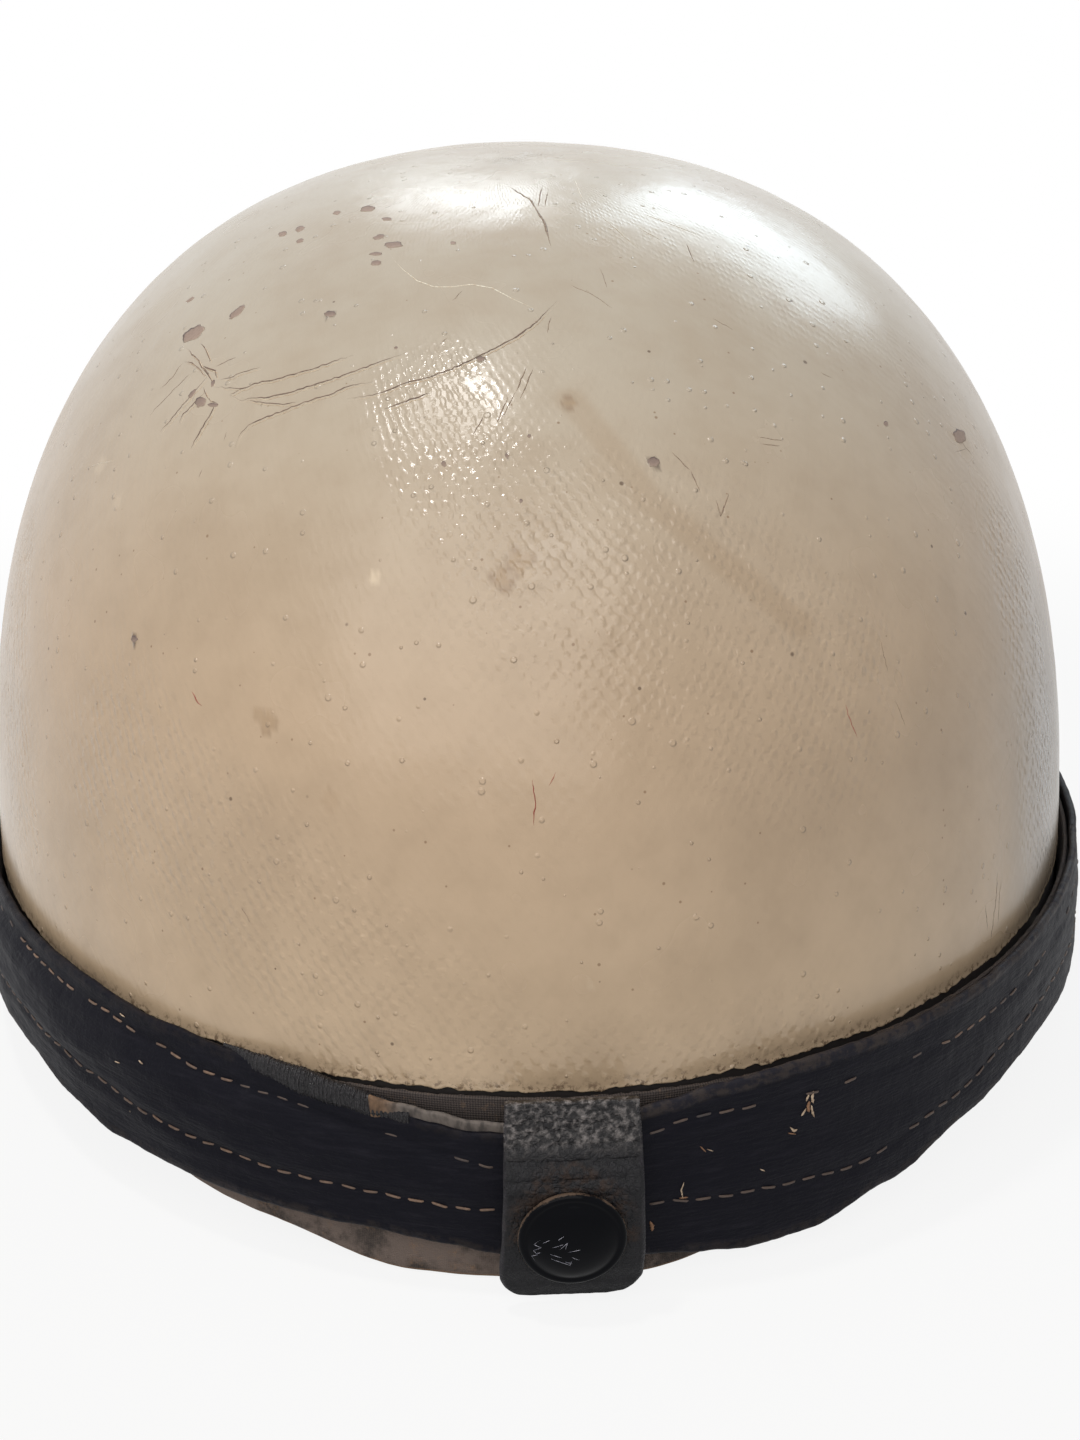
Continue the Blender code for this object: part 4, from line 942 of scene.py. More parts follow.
def makeChips():
    draw, sides = random.Random(17), chipLook["sides"]
    verts, faces, deep, litLowerEdges = [], [], [], []
    for centreX, centreY, halfAcross, halfUp, turnDeg, dark in chips:
        outline = [draw.uniform(0.74, 1.14) for _ in range(sides)]
        outline = [(outline[k - 1] + 5 * outline[k] + outline[(k + 1) % sides]) / 7 for k in range(sides)]
        turn = radians(-turnDeg)
        first = len(verts)
        for reach, height in chipLook["rings"]:
            for k in range(sides):
                a = 2 * pi * k / sides
                u, v = halfAcross * outline[k] * reach * cos(a), halfUp * outline[k] * reach * sin(a)
                x, y = u * cos(turn) - v * sin(turn), u * sin(turn) + v * cos(turn)
                place, normal = surfaceAt(centreX + x, centreY + y)
                verts.append(place + normal * height * mm)
                # painted shade: each hollow darker towards its upper side, with a painted shadow along its upper edge;
                # painted highlight: its lower edge made pale as if lit
                shade = 0.5 - 0.5 * sin(a) * (1 if reach > 0.5 else 0.4)
                shadow = max(0.0, -sin(a)) if reach > 0.8 else 0.0
                deep.append(max(dark * (0.25 + 0.5 * shade), shadow))
                litLowerEdges.append(1.0 if reach > 0.9 and sin(a) > 0.2 else 0.0)
        place, normal = surfaceAt(centreX, centreY)
        verts += [place + normal * chipLook["rings"][-1][1] * mm, place - normal * chipLook["root"] * mm]
        deep += [dark * 0.6, dark]
        litLowerEdges += [0.0, 0.0]
        rows = len(chipLook["rings"])
        faces += gridFaces(rows, sides, closedAcross=True, offset=first)
        faces += fanFaces(len(verts) - 2, first + (rows - 1) * sides, sides)
        faces += fanFaces(len(verts) - 1, first, sides, flip=True)
    n, where = newMaterial("chippedPaint")
    colour = n.mix(n.attribute("deep"), chipLook["floor"], chipLook["deep"])
    colour = n.mix(n.ramp(n.noise(where, 1500, 3.0), 0.4, 0.7, 0.0, 0.4), colour, chipLook["grain"])
    # painted highlight: the chip's lower edge made pale, as if lit
    colour = n.mix(n.times(n.attribute("rim"), 0.7), colour, cracks["pale"])
    material = n.finish(colour, 0.7, normal=n.bump(n.noise(where, 2000, 3.0), 0.08 * mm, 0.8))
    piece = addPiece("paint_chips", verts, faces, material, slot="painted_shell", deep=deep, rim=litLowerEdges)


makeMarks()
makeChips()
print("paint marked")


# strips that run round the rim

def sweepStrip(name, angles, outsets, heights, material, slot, closed=True):
    # outsets and heights: one row per angle, one column per point of the closed section, in metres
    count, points = outsets.shape
    x, y = planXY(np.repeat(angles, points), outsets.reshape(-1))
    verts = np.stack([x, y, heights.reshape(-1)], 1)
    faces = gridFaces(count, points, closedAcross=True, closedAlong=closed)
    if not closed:
        faces += endFaces(count, points)
    piece = addPiece(name, verts, faces, material, slot=slot, along=np.repeat(pathLengths(np.stack(planXY(angles,
                     4 * mm), 1)) / mm, points), height=heights.reshape(-1) / mm)
    return piece


def section(angles, bottom, top, thickness, outerAt, faceSteps, edgeSteps=4, innerSteps=6):
    # the closed section of a strip: outer face up, rounded top edge, inner face down, rounded bottom edge
    outs, ups = [], []
    for share in np.linspace(0, 1, faceSteps):
        z = bottom + (top - bottom) * share
        outs.append(outerAt(share, z))
        ups.append(z)
    for k in range(1, edgeSteps):
        turn = pi * k / edgeSteps
        outs.append(outs[faceSteps - 1] - thickness / 2 * (1 - cos(turn)))
        ups.append(top + thickness / 2 * sin(turn) * 0.8)
    for k in range(innerSteps):
        share = 1 - k / (innerSteps - 1)
        z = bottom + (top - bottom) * share
        outs.append(outerAt(share, z) - thickness)
        ups.append(z)
    for k in range(1, edgeSteps):
        turn = pi * k / edgeSteps
        outs.append(outs[0] - thickness / 2 * (1 + cos(turn)))
        ups.append(bottom - thickness / 2 * sin(turn) * 0.8)
    return np.stack(outs, 1), np.stack(ups, 1)


# heights and outsets in millimetres at listed angles
band = {
    "thickness": 1.6,
    "faceSteps": 34,
    "topZ": [(-180, 36.6), (-60, 36.8), (-31, 36.9), (-21, 37.3), (-13, 36.3), (-8.5, 34.8), (-4, 32.6), (0, 31.2),
             (5, 29.6), (9, 29.8), (12, 31.0), (16, 32.6), (21, 34.2), (26, 35.6), (31, 36.5), (40, 37.0), (48, 37.8),
             (70, 37.8), (110, 36.8)],
    "bottomZ": [(-180, 4.0), (-150, 4.6), (-135, 7.2), (-120, 11.0), (-100, 15.0), (-60, 15.2), (-50, 14.9),
                (-40, 11.8), (-30, 7.4), (-22, 4.2), (-16, 3.9), (-12, 5.0), (-8, 6.1), (0, 6.3), (6, 7.2),
                (11, 8.8), (20, 10.4), (26, 10.6), (38, 10.9), (44, 11.2), (52, 12.9), (60, 14.8), (80, 15.1),
                (100, 15.0), (120, 11.0), (135, 7.2), (150, 4.6)],
    "topOut": [(-180, 3.4), (-60, 4.2), (-40, 5.2), (-20, 5.5), (-8, 5.1), (0, 4.5), (7, 4.5), (14, 4.3),
               (20, 3.8), (27, 3.0), (33, 2.9), (60, 3.0), (120, 3.2)],
    "middleOut": [(-180, 4.6), (-60, 4.7), (-20, 4.9), (0, 4.6), (12, 4.9), (25, 5.6), (45, 6.0), (70, 5.6),
                  (120, 4.8)],
    "bottomOut": [(-180, 4.3), (-20, 4.6), (0, 4.3), (15, 4.5), (40, 4.8), (120, 4.3)],
    "padding": [(-180, 0.25), (-20, 0.12), (0, 0.15), (12, 0.5), (22, 1.0), (70, 1.0), (120, 0.35)],
    "upperRowZ": [(-180, 31.2), (-60, 31.0), (-42, 29.4), (-24, 31.0), (-11, 31.4), (-5, 28.6), (7, 23.9), (9, 25.0),
                  (17, 28.6), (26, 31.2), (34, 31.6), (40, 33.2), (47, 34.6), (70, 34.6), (110, 33.0)],
    "lowerRowZ": [(-180, 12.6), (-150, 13.0), (-120, 18.5), (-100, 21.5), (-60, 21.6), (-48, 20.6), (-38, 17.2),
                  (-26, 13.2), (-21, 14.0), (-15, 14.8), (-8, 15.7), (9, 15.6), (16, 16.6), (24, 17.2), (34, 18.3),
                  (40, 19.3), (47, 21.0), (56, 22.0), (100, 21.8), (120, 18.5), (150, 13.0)],
    "black": linear(15, 15, 23),
    "grey": linear(46, 45, 52),
    "brown": linear(74, 66, 60),
}


def bandFace(angles):
    # the band's outer face: outset in metres at a share of its height and the height itself
    places = [wallPoint(a, 4 * mm, 0) for a in angles]
    read = {key: curveAt(band[key], angles) for key in (
        "topOut", "middleOut", "bottomOut", "padding", "upperRowZ", "lowerRowZ")}
    low, middle, high, padding = read["bottomOut"], read["middleOut"], read["topOut"], read["padding"]

    def outerAt(share, z):
        out = np.where(share < 0.5, low + (middle - low) * smooth(share * 2),
                       middle + (high - middle) * smooth(share * 2 - 1) ** 1.4)
        for row, depth in (("upperRowZ", 0.42), ("lowerRowZ", 0.5)):
            out = out - depth * (0.45 + padding) * np.exp(-((z / mm - read[row]) / 1.1) ** 2)
        for k, p in enumerate(places):
            out[k] += padding[k] * 0.42 * fractal((p.x * 0.22, p.y * 0.22, z[k]), 4.2 * mm, 2, 5.2) \
                + 0.30 * fractal((p.x * 0.5, p.y * 0.5, z[k]), 9 * mm, 3, 2.2) \
                + 0.07 * fractal((p.x, p.y, z[k]), 1.6 * mm, 2, 7.7)
        return out * mm
    return outerAt


def makeBand():
    angles = roundAngles(560, 280)
    uneven = unevenness(angles, 4, (0.3, 14, 3, 4.0), (0.1, 2.2, 2, 8.0))
    top = (curveAt(band["topZ"], angles) + uneven) * mm
    bottom = (curveAt(band["bottomZ"], angles) + 0.8 * uneven) * mm
    steps = band["faceSteps"]
    outs, ups = section(angles, bottom, top, band["thickness"] * mm, bandFace(angles), faceSteps=steps)
    piece = sweepStrip("stitched_band", angles, outs, ups, bandMaterial(), slot="band_leather")
    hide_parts("leather_band")
    # the edges wear, the top one most beside and left of the tab
    edge = np.zeros(outs.shape)
    edge[:, steps - 2:steps + 4] = (0.25 + 0.75 * smooth((6 - angles) / 12))[:, None]
    edge[:, -3:] = 0.6
    edge[:, 0:2] = 0.45
    setFloats(piece, "edge", edge.reshape(-1))


def bandMaterial():
    n, where = newMaterial("wornBlackLeather")
    along, height = n.attribute("along"), n.attribute("height")
    flat = n.add("ShaderNodeCombineXYZ", X=n.times(along, 0.16), Y=height).outputs[0]
    streaks = n.noise(flat, 0.75, 5.0, 0.65)
    wear = n.group("wear", Place=where, Size=9.0, Edge=n.attribute("edge"), Amount=0.33)
    colour = n.mix(n.ramp(streaks, 0.45, 0.8, 0.0, 0.45), band["black"], band["grey"])
    colour = n.mix(n.times(wear, 0.5), colour, band["grey"])
    edgeWear = n.times(n.attribute("edge"), n.ramp(n.noise(where, 350, 4.0, 0.7), 0.4, 0.6))
    colour = n.mix(n.times(edgeWear, 0.5), colour, band["brown"])
    specks = n.group("specks", Place=where, Spacing=11.0, Radius=0.3, Share=0.3)
    colour = n.mix(n.times(specks, 0.6), colour, linear(150, 135, 120))
    grain = n.group("grain", Place=where, Size=1.3, Crease=0.7)
    normal = n.bump(n.noise(flat, 1.8, 4.0, 0.5), 0.35 * mm, 0.7)
    return n.finish(colour, n.ramp(streaks, 0.35, 0.75, 0.48, 0.62), specular=0.08,
                    normal=n.bump(grain, 0.05 * mm, 0.7, normal))


# the second strip, whose raw end shows beside the tab, and the glossy roll before it
underStrip = {
    "thickness": 1.1,
    "topZ": [(-12, 33.4), (0, 31.9), (5, 31.4), (9, 32.0), (12, 33.1), (15, 34.3), (17.6, 35.4)],
    "bottomZ": [(-12, 26), (17.6, 26)],
    "suede": linear(112, 104, 98),
    "rawEnd": linear(128, 102, 80),
}


def makeUnderStrip():
    angles = np.linspace(-10, 17.4, 150)
    top = (curveAt(underStrip["topZ"], angles) + unevenness(angles, 4, (0.25, 6, 3, 1.0))) * mm
    bottom = curveAt(underStrip["bottomZ"], angles) * mm
    curl = smooth((angles - 12) / 5.4)

    def outerAt(share, z):
        return (2.7 + 1.3 * share + 1.2 * share * curl) * mm
    outs, ups = section(angles, bottom, top, underStrip["thickness"] * mm, outerAt, faceSteps=14)
    piece = sweepStrip("band_under_strip", angles, outs, ups, underStripMaterial(), closed=False, slot="band_leather")
    setFloats(piece, "rawEnd", smooth((np.repeat(angles, outs.shape[1]) - 14.5) / 2.2))


def underStripMaterial():
    n, where = newMaterial("greyedUnderStrip")
    nap = n.noise(n.scaled(where, 1.0, 1.0, 0.35), 900, 3.0, 0.5)
    worn = n.ramp(nap, 0.35, 0.7)
    colour = n.mix(n.attribute("rawEnd"), n.mix(worn, underStrip["suede"], linear(72, 67, 64)),
                         n.mix(worn, underStrip["rawEnd"], linear(88, 70, 56)))
    return n.finish(colour, 0.75, specular=0.3, normal=n.bump(nap, 0.2 * mm, 0.8))


roll = {
    "topZ": [(14, 33.2), (17, 34.4), (20, 35.5), (24, 36.6), (28, 37.2), (32, 37.4)],
    "radius": [(14, 1.1), (18, 1.5), (24, 1.7), (28, 1.3), (32, 0.4)],
    "outset": [(14, 3.4), (20, 2.9), (28, 2.2), (32, 1.6)],
}


def makeRoll():
    angles = np.linspace(14, 32, 220)
    ribs = 0.10 * np.sin(np.arange(len(angles)) * 1.35) + unevenness(angles, 3, (0.22, 1.5, 2, 2.0))
    radius = curveAt(roll["radius"], angles)
    reach = radius * (1 + 0.5 * ribs)
    centreZ = curveAt(roll["topZ"], angles) - radius
    outset = curveAt(roll["outset"], angles)
    turns = 2 * pi * np.arange(14) / 14
    outs = (outset[:, None] + reach[:, None] * np.cos(turns)) * mm
    ups = (centreZ[:, None] + reach[:, None] * 1.5 * np.sin(turns)) * mm
    sweepStrip("band_rolled_edge", angles, outs, ups, rollMaterial(), closed=False, slot="band_leather")


def rollMaterial():
    n, where = newMaterial("polishedLeatherRoll")
    grain = n.group("grain", Place=where, Size=1.0, Crease=0.5)
    swing = n.plus(n.times(n.attribute("along"), 15.0), n.times(n.noise(where, 400, 3.0), 12.0))
    ribs = n.ramp(n.math("SINE", swing), -0.6, 1.0)
    colour = n.mix(n.times(ribs, grain), linear(22, 21, 24), linear(56, 53, 56))
    normal = n.bump(ribs, 0.16 * mm, 0.8)
    return n.finish(colour, 0.34, specular=0.3, normal=n.bump(grain, 0.14 * mm, 0.9, normal))


# stitches

stitching = {
    "pitch": 4.2 * mm,
    "length": 3.3 * mm,
    "radius": 0.2 * mm,
    "steps": 7,
    "plainRadius": 0.26 * mm,    # inside the helmet
    "plainSteps": 6,
    "tan": linear(142, 114, 94),
    "dark": linear(52, 46, 46),
}


def addThreads(name, threads, tones, material, body, slot, sides=6):
    # each thread is a row of rings: centre, outward, across and radius
    verts, faces = [], []
    for rings in threads:
        first = len(verts)
        for centre, outward, across, radius in rings:
            for side in range(sides):
                turn = 2 * pi * side / sides
                verts.append(centre + (outward * cos(turn) + across * sin(turn)) * radius)
        faces += gridFaces(len(rings), sides, closedAcross=True, offset=first) + endFaces(len(rings), sides, first)
    piece = addPiece(name, verts, faces, material, body, slot=slot, tone=np.repeat(tones, len(verts) // len(threads)))


def makeStitches():
    draw = random.Random(11)
    threads, tones = [], []
    angles = np.arange(-180, 180, 0.05)
    arcs = pathLengths(np.stack(planXY(angles, 5 * mm), 1))
    steps, tall = stitching["steps"], Vector((0, 0, 1.25))
    for rowKey in ("upperRowZ", "lowerRowZ"):
        count = int(arcs[-1] / stitching["pitch"])
        starts = (np.arange(count) + 0.5) * arcs[-1] / count
        spots = np.array([[s + stitching["length"] * (k / (steps - 1) - 0.5) for k in range(steps)] for s in starts])
        spotAngles = np.interp(spots.reshape(-1), arcs, angles)
        rowZ = curveAt(band[rowKey], spotAngles)
        top, bottom = curveAt(band["topZ"], spotAngles) * mm, curveAt(band["bottomZ"], spotAngles) * mm
        shares = np.clip((rowZ * mm - bottom) / (top - bottom), 0, 1)
        outs = bandFace(spotAngles)(shares, rowZ * mm)
        for spot in range(0, count * steps, steps):
            tone, sink, shown = stitchState(rowKey, spotAngles[spot + steps // 2], draw)
            if not shown:
                continue
            tilt = draw.uniform(-0.25, 0.25) * mm
            rings = []
            for k in range(steps):
                share, angle = k / (steps - 1) * 2 - 1, spotAngles[spot + k]
                radius = stitching["radius"] * (1 - 0.6 * abs(share) ** 5) * draw.uniform(0.92, 1.05)
                centre = wallPoint(angle, outs[spot + k] + (0.2 - 0.4 * abs(share) ** 6 - sink) * mm,
                                   rowZ[spot + k] * mm + tilt * share)
                rings.append((centre, wallNormal(angle), tall, radius))
            threads.append(rings)
            tones.append(tone)
    addThreads("band_stitches", threads, tones, threadMaterial(), "root", "band_leather")


def stitchState(row, angle, draw):
    # how tan a stitch is, how deep it lies in millimetres, and whether it shows at all
    hidden = abs(angle - 1) < 5.2
    if row == "lowerRowZ":
        tan = 0.9 if 4 < angle < 40 else 0.5 if 40 <= angle < 60 else 0.3
        return tan * draw.uniform(0.6, 1.0), draw.uniform(0.0, 0.12), not hidden and draw.random() < 0.97
    if 30 < angle < 62:
        return draw.uniform(0.55, 0.9), draw.uniform(0.0, 0.1), draw.random() < 0.95
    if 10 < angle <= 30:
        return 0.2, 0.28, draw.random() < 0.3
    clear = -44 < angle < -36
    return (draw.uniform(0.5, 0.8) if clear else draw.uniform(0.0, 0.3)), draw.uniform(0.05, 0.22), \
        not hidden and draw.random() < (0.95 if clear else 0.7)


def threadMaterial():
    n, where = newMaterial("waxedThread")
    colour = n.mix(n.attribute("tone"), stitching["dark"], stitching["tan"])
    worn = n.ramp(n.noise(where, 1500, 2.0), 0.35, 0.65, 0.0, 0.4)
    return n.finish(n.mix(worn, colour, linear(60, 50, 44)), 0.6)


# torn fibres, a loose thread and pale flecks on the band: width in millimetres, then pixels
fibres = {
    "pale": [
        (0.62, (813, 1091), (812, 1098), (813, 1103)), (0.50, (809, 1094), (807, 1098), (806, 1101)),
        (0.46, (811, 1105), (812, 1111), (814, 1117)), (0.40, (806, 1108), (803, 1113), (801, 1116)),
        (0.45, (790, 1127), (794, 1131), (797, 1129)), (0.20, (707, 1149), (713, 1151)),
        (0.20, (760, 1169), (765, 1171)), (0.26, (684, 1182), (681, 1190), (683, 1199)),
        (0.26, (115, 1061), (120, 1063)), (0.22, (139, 1060), (143, 1064)), (0.22, (120, 1013), (125, 1017)),
    ],
    "tan": [
        (0.80, (809, 1101), (808, 1107), (809, 1112)), (0.26, (788, 1133), (796, 1134)),
        (0.40, (679, 1198), (688, 1197)), (0.75, (650, 1221), (652, 1226), (652, 1231)),
        (0.22, (700, 1146), (706, 1152)),
    ],
    "paleColour": linear(212, 190, 164),
    "tanColour": linear(150, 112, 84),
}


def onBand(photoX, photoY):
    # the band's outer face under a pixel, and the way out of it
    outset, half = 5 * mm, form["planPower"] / 2

    def shares(point):
        x, y = abs(point.x), abs(point.y - form["centreY"])
        return (x / (form["halfWidth"] + outset)) ** half, (y / (form["halfLength"] + outset)) ** half

    def bandMeasure(point):
        across, back = shares(point)
        return across ** 2 + back ** 2 - 1

    for _ in range(4):
        place = onShell(photoX, photoY, bandMeasure)
        across, back = shares(place)
        angle = np.array([degrees(atan2(copysign(across, place.x), back))])
        bottom, top = curveAt(band["bottomZ"], angle) * mm, curveAt(band["topZ"], angle) * mm
        share = np.clip((place.z - bottom) / (top - bottom), 0, 1)
        outset = float(bandFace(angle)(share, np.array([place.z]))[0])
    return place, wallNormal(float(angle[0]))


def makeFibres():
    for key, name in (("pale", "band_pale_fibres"), ("tan", "band_tan_fibres")):
        trails = []
        for width, *pixels in fibres[key]:
            spots = [onBand(*pixel) for pixel in pixels]
            places, normals = [], []
            for (a, outA), (b, outB) in zip(spots, spots[1:]):
                for k in range(4):
                    places.append(a.lerp(b, k / 4) + outA * 0.1 * mm)
                    normals.append(outA.lerp(outB, k / 4).normalized())
            places.append(spots[-1][0] + spots[-1][1] * 0.1 * mm)
            normals.append(spots[-1][1])
            trails.append((places, normals, width * mm, 0.16 * mm))
        material = mottled(key + "Fibre", fibres[key + "Colour"], linear(120, 90, 68), 0.75, 2200, most=0.6)
        addRibbons(name, trails, material, seed=8)


makeBand()
makeUnderStrip()
makeRoll()
makeStitches()
makeFibres()
print("band stitched")


# rim binding, and the lining behind the band

binding = {
    "thickness": 1.3,
    "gap": 0.3,
    "outerTop": 9.3,
    "innerTop": 8.0,
    "wall": 3.0,
    "cloth": linear(114, 101, 94),
    "clothDark": linear(52, 46, 44),
    "tan": linear(142, 114, 90),
}


def makeBinding():
    angles = roundAngles(420, 210)
    uneven = unevenness(angles, 1, (0.16, 7, 3, 6.0))
    gap, t, wall = binding["gap"], binding["thickness"], binding["wall"]
    outer, inner = gap + t, -wall - gap - t
    loop = [(gap, t), (gap, 4.0), (gap, binding["outerTop"]), (outer * 0.9, binding["outerTop"])]
    loop += [(outer, z) for z in (8.6, 7.4, 6.2, 5.0, 3.8, 2.8, 1.9)]
    middle, half = (outer + inner) / 2, (outer - inner) / 2
    for k in range(1, 12):
        turn = pi * k / 12
        flat = copysign(abs(cos(turn)) ** 0.75, cos(turn))
        loop.append((middle + half * flat, 1.9 * (1 - sin(turn) ** 0.75)))
    loop += [(inner, z) for z in (1.9, 4.0, 6.0, binding["innerTop"])]
    loop += [(-wall - gap, binding["innerTop"]), (-wall - gap, t)]
    outs, ups = np.array(loop).T
    swollen = outs + np.where(outs > 0.5, uneven[:, None], 0.0)
    heights = trimZ(np.repeat(angles, len(loop)), np.tile(ups, len(angles)) * mm).reshape(swollen.shape)
    piece = sweepStrip("folded_binding", angles, swollen * mm, heights, bindingMaterial(), slot="rim_cloth")
    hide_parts("rim_binding")
    setFloats(piece, "edge", np.tile((ups < 1.2) & (outs > -2.5), len(angles)))


def bindingMaterial():
    n, where = newMaterial("wornBindingCloth")
    weave = n.group("twill", Along=n.attribute("along"), Height=n.attribute("height"), Density=9.0)
    wear = n.group("wear", Place=where, Size=4.5, Edge=n.attribute("edge"), Amount=0.58)
    dirt = n.ramp(n.noise(where, 130, 5.0, 0.65), 0.42, 0.62)
    colour = n.mix(dirt, binding["cloth"], binding["clothDark"])
    colour = n.mix(n.times(weave, 0.25), colour, linear(126, 116, 108))
    colour = n.mix(n.times(wear, 0.75), colour, binding["tan"])
    normal = n.bump(n.noise(where, 420, 4.0, 0.7), 0.25 * mm, 0.7, n.bump(weave, 0.10 * mm, 0.8))
    return n.finish(colour, 0.82, specular=0.25, normal=normal)


makeBinding()
print("rim bound")


# woven strip behind the band

lining = {"bottomZ": 9.6, "topZ": 35.5, "thread": linear(86, 78, 74), "dark": linear(46, 42, 42)}


def makeLining():
    angles = roundAngles(420, 140)
    draw = random.Random(21)
    ragged = unevenness(angles, 0, (0.25, 3, 2, 3.0)) + np.array([draw.uniform(-0.12, 0.12) for _ in angles])
    top = (lining["topZ"] + ragged) * mm
    bottom = trimZ(angles, lining["bottomZ"] * mm)

    def outerAt(share, z):
        return (1.3 + 0.9 * share ** 6 + 0.15 * ragged) * mm
    outs, ups = section(angles, bottom, top, 1.0 * mm, outerAt, faceSteps=10, edgeSteps=3, innerSteps=3)
    piece = sweepStrip("woven_lining", angles, outs, ups, liningMaterial(), slot="lining_cloth")
    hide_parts("band_lining")


def liningMaterial():
    n, where = newMaterial("blackWovenStrip")
    weave = n.group("twill", Along=n.attribute("along"), Height=n.attribute("height"), Density=6.5)
    colour = n.mix(weave, lining["dark"], lining["thread"])
    dusty = n.ramp(n.noise(where, 600, 4.0, 0.7), 0.56, 0.7, 0.0, 0.5)
    normal = n.bump(n.noise(where, 900, 3.0), 0.15 * mm, 0.7, n.bump(weave, 0.2 * mm, 0.9))
    return n.finish(n.mix(dusty, colour, linear(112, 94, 78)), 0.85, specular=0.2, normal=normal)


# rear tab: one piece of grained leather, sewn at its top and loose below its fold

tab = {
    "thickness": 2.0,
    "path": [(2.4, 8.6), (5.0, 9.3), (8.5, 10.1), (12, 10.4), (20, 10.6), (22.8, 10.5), (25, 9.5),
             (27.6, 7.6), (30.0, 6.25), (32.5, 5.85), (35.0, 5.8), (37.3, 5.75)],      # height, outset
    "leftEdge": [(2.4, 12.9), (8, 12.9), (15, 12.3), (24, 11.9), (30, 11.6), (37.3, 11.3)],
    "rightEdge": [(2.4, 11.0), (6, 11.6), (12, 12.0), (24, 11.9), (30, 11.9), (37.3, 11.5)],
    "cornerRadius": 4.6,
    "rows": 190,
    "columns": 72,
    "black": linear(8, 8, 11),
    "worn": linear(46, 43, 48),
    "rub": linear(66, 50, 40),
    # painted highlight colour for the pebbles on the tab's top
    "pebbleHighlight": linear(150, 144, 142),
}


def makeTab():
    heights = np.linspace(2.4, 37.3, tab["rows"])
    outsets = curveAt(tab["path"], heights)
    slopes = np.gradient(outsets, heights)
    left, right = curveAt(tab["leftEdge"], heights), curveAt(tab["rightEdge"], heights)
    radius = tab["cornerRadius"]
    drop = np.clip((radius - (heights - heights[0])) / radius, 0, 1)
    pull = radius * (1 - np.sqrt(1 - drop ** 2))
    left, right = left - pull, right - pull * 1.15
    half = tab["thickness"] / 2
    across = np.linspace(-1, 1, tab["columns"])
    verts, grain, rub, edge = [], [], [], []
    for row, z in enumerate(heights):
        slant = hypot(1, slopes[row])
        out, up = 1 / slant, -slopes[row] / slant
        for side in (1, -1):
            for share in across if side > 0 else across[::-1]:
                x = (left[row] if share > 0 else right[row]) * share
                sag = 0.35 * (1 - share ** 2) * smooth((z - 22) / 6) * smooth((34 - z) / 6)
                rounding = half * (1 - 0.55 * max(0.0, (abs(share) - 0.93) / 0.07) ** 2)
                wrinkle = 0.0
                if side > 0:
                    bumps = fractal((x * mm, 0, z * mm), 1.5 * mm, 2, 31.0)
                    creases = fractal((x * mm * 0.35 - z * mm * 0.5, 0.01, z * mm + x * mm * 0.45), 2.4 * mm, 3, 12.0)
                    wrinkle = 0.10 * bumps + 0.20 * creases * (0.4 + 0.6 * float(smooth((z - 15) / 10)))
                depth = (rounding + wrinkle) * side + sag
                y = outsets[row] + out * depth - 0.04 * (x / 12) ** 2
                verts.append((x * mm, form["rearY"] + y * mm, (z + up * depth) * mm))
                ring = hypot(x - cap["x"], z - cap["z"] - 0.5)
                rub.append(float(smooth((12.4 - ring) / 2.6)) if side > 0 and z > 13 else 0.0)
                edge.append(max(0.0, (abs(share) - 0.9) / 0.1) if side > 0 else 0.3)
                # the tab's top above its fold: glossier, and carrying painted highlights
                grain.append(float(smooth((z - 27) / 5)))
    columns = 2 * tab["columns"]
    faces = gridFaces(tab["rows"], columns, closedAcross=True) + endFaces(tab["rows"], columns)
    piece = addPiece("snap_tab_leather", verts, faces, tabMaterial(), body=None)
    for name, values in (("rub", rub), ("edge", edge), ("topGlossAndHighlight", grain)):
        setFloats(piece, name, values)
    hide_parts("snap_tab", "tab_root")
    _, y, z = jointNamed("tab_hinge")["pos_m"]
    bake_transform(piece)


def tabMaterial():
    n, where = newMaterial("grainedTabLeather")
    grain = n.group("grain", Place=where, Size=1.05, Crease=0.4)
    wear = n.group("wear", Place=where, Size=4.0, Edge=n.attribute("edge"), Amount=0.3)
    colour = n.mix(n.times(grain, 0.35), tab["black"], linear(20, 19, 25))
    colour = n.mix(n.times(wear, 0.6), colour, tab["worn"])
    ragged = n.times(n.attribute("rub"), n.ramp(n.noise(where, 500, 4.0, 0.7), 0.4, 0.65, 0.0, 0.5))
    colour = n.mix(ragged, colour, tab["rub"])
    # painted highlight: the pebbles on the tab's top painted pale, as gloss highlights
    pebbles = n.noise(where, 850, 3.0, 0.55, 0.3)
    pebbleHighlight = n.times(n.attribute("topGlossAndHighlight"), n.ramp(pebbles, 0.41, 0.82, 0.04, 1.0))
    colour = n.mix(pebbleHighlight, colour, tab["pebbleHighlight"])
    specks = n.group("specks", Place=where, Spacing=5.5, Radius=0.28, Share=0.22)
    colour = n.mix(n.times(specks, 0.7), colour, linear(150, 128, 104))
    gloss = n.minus(0.56, n.times(n.attribute("topGlossAndHighlight"), 0.34))
    return n.finish(colour, n.plus(gloss, n.times(ragged, 0.2)), specular=0.26,
                    normal=n.bump(grain, 0.14 * mm, 0.9, n.bump(pebbles, 0.4 * mm)))


# press-stud cap

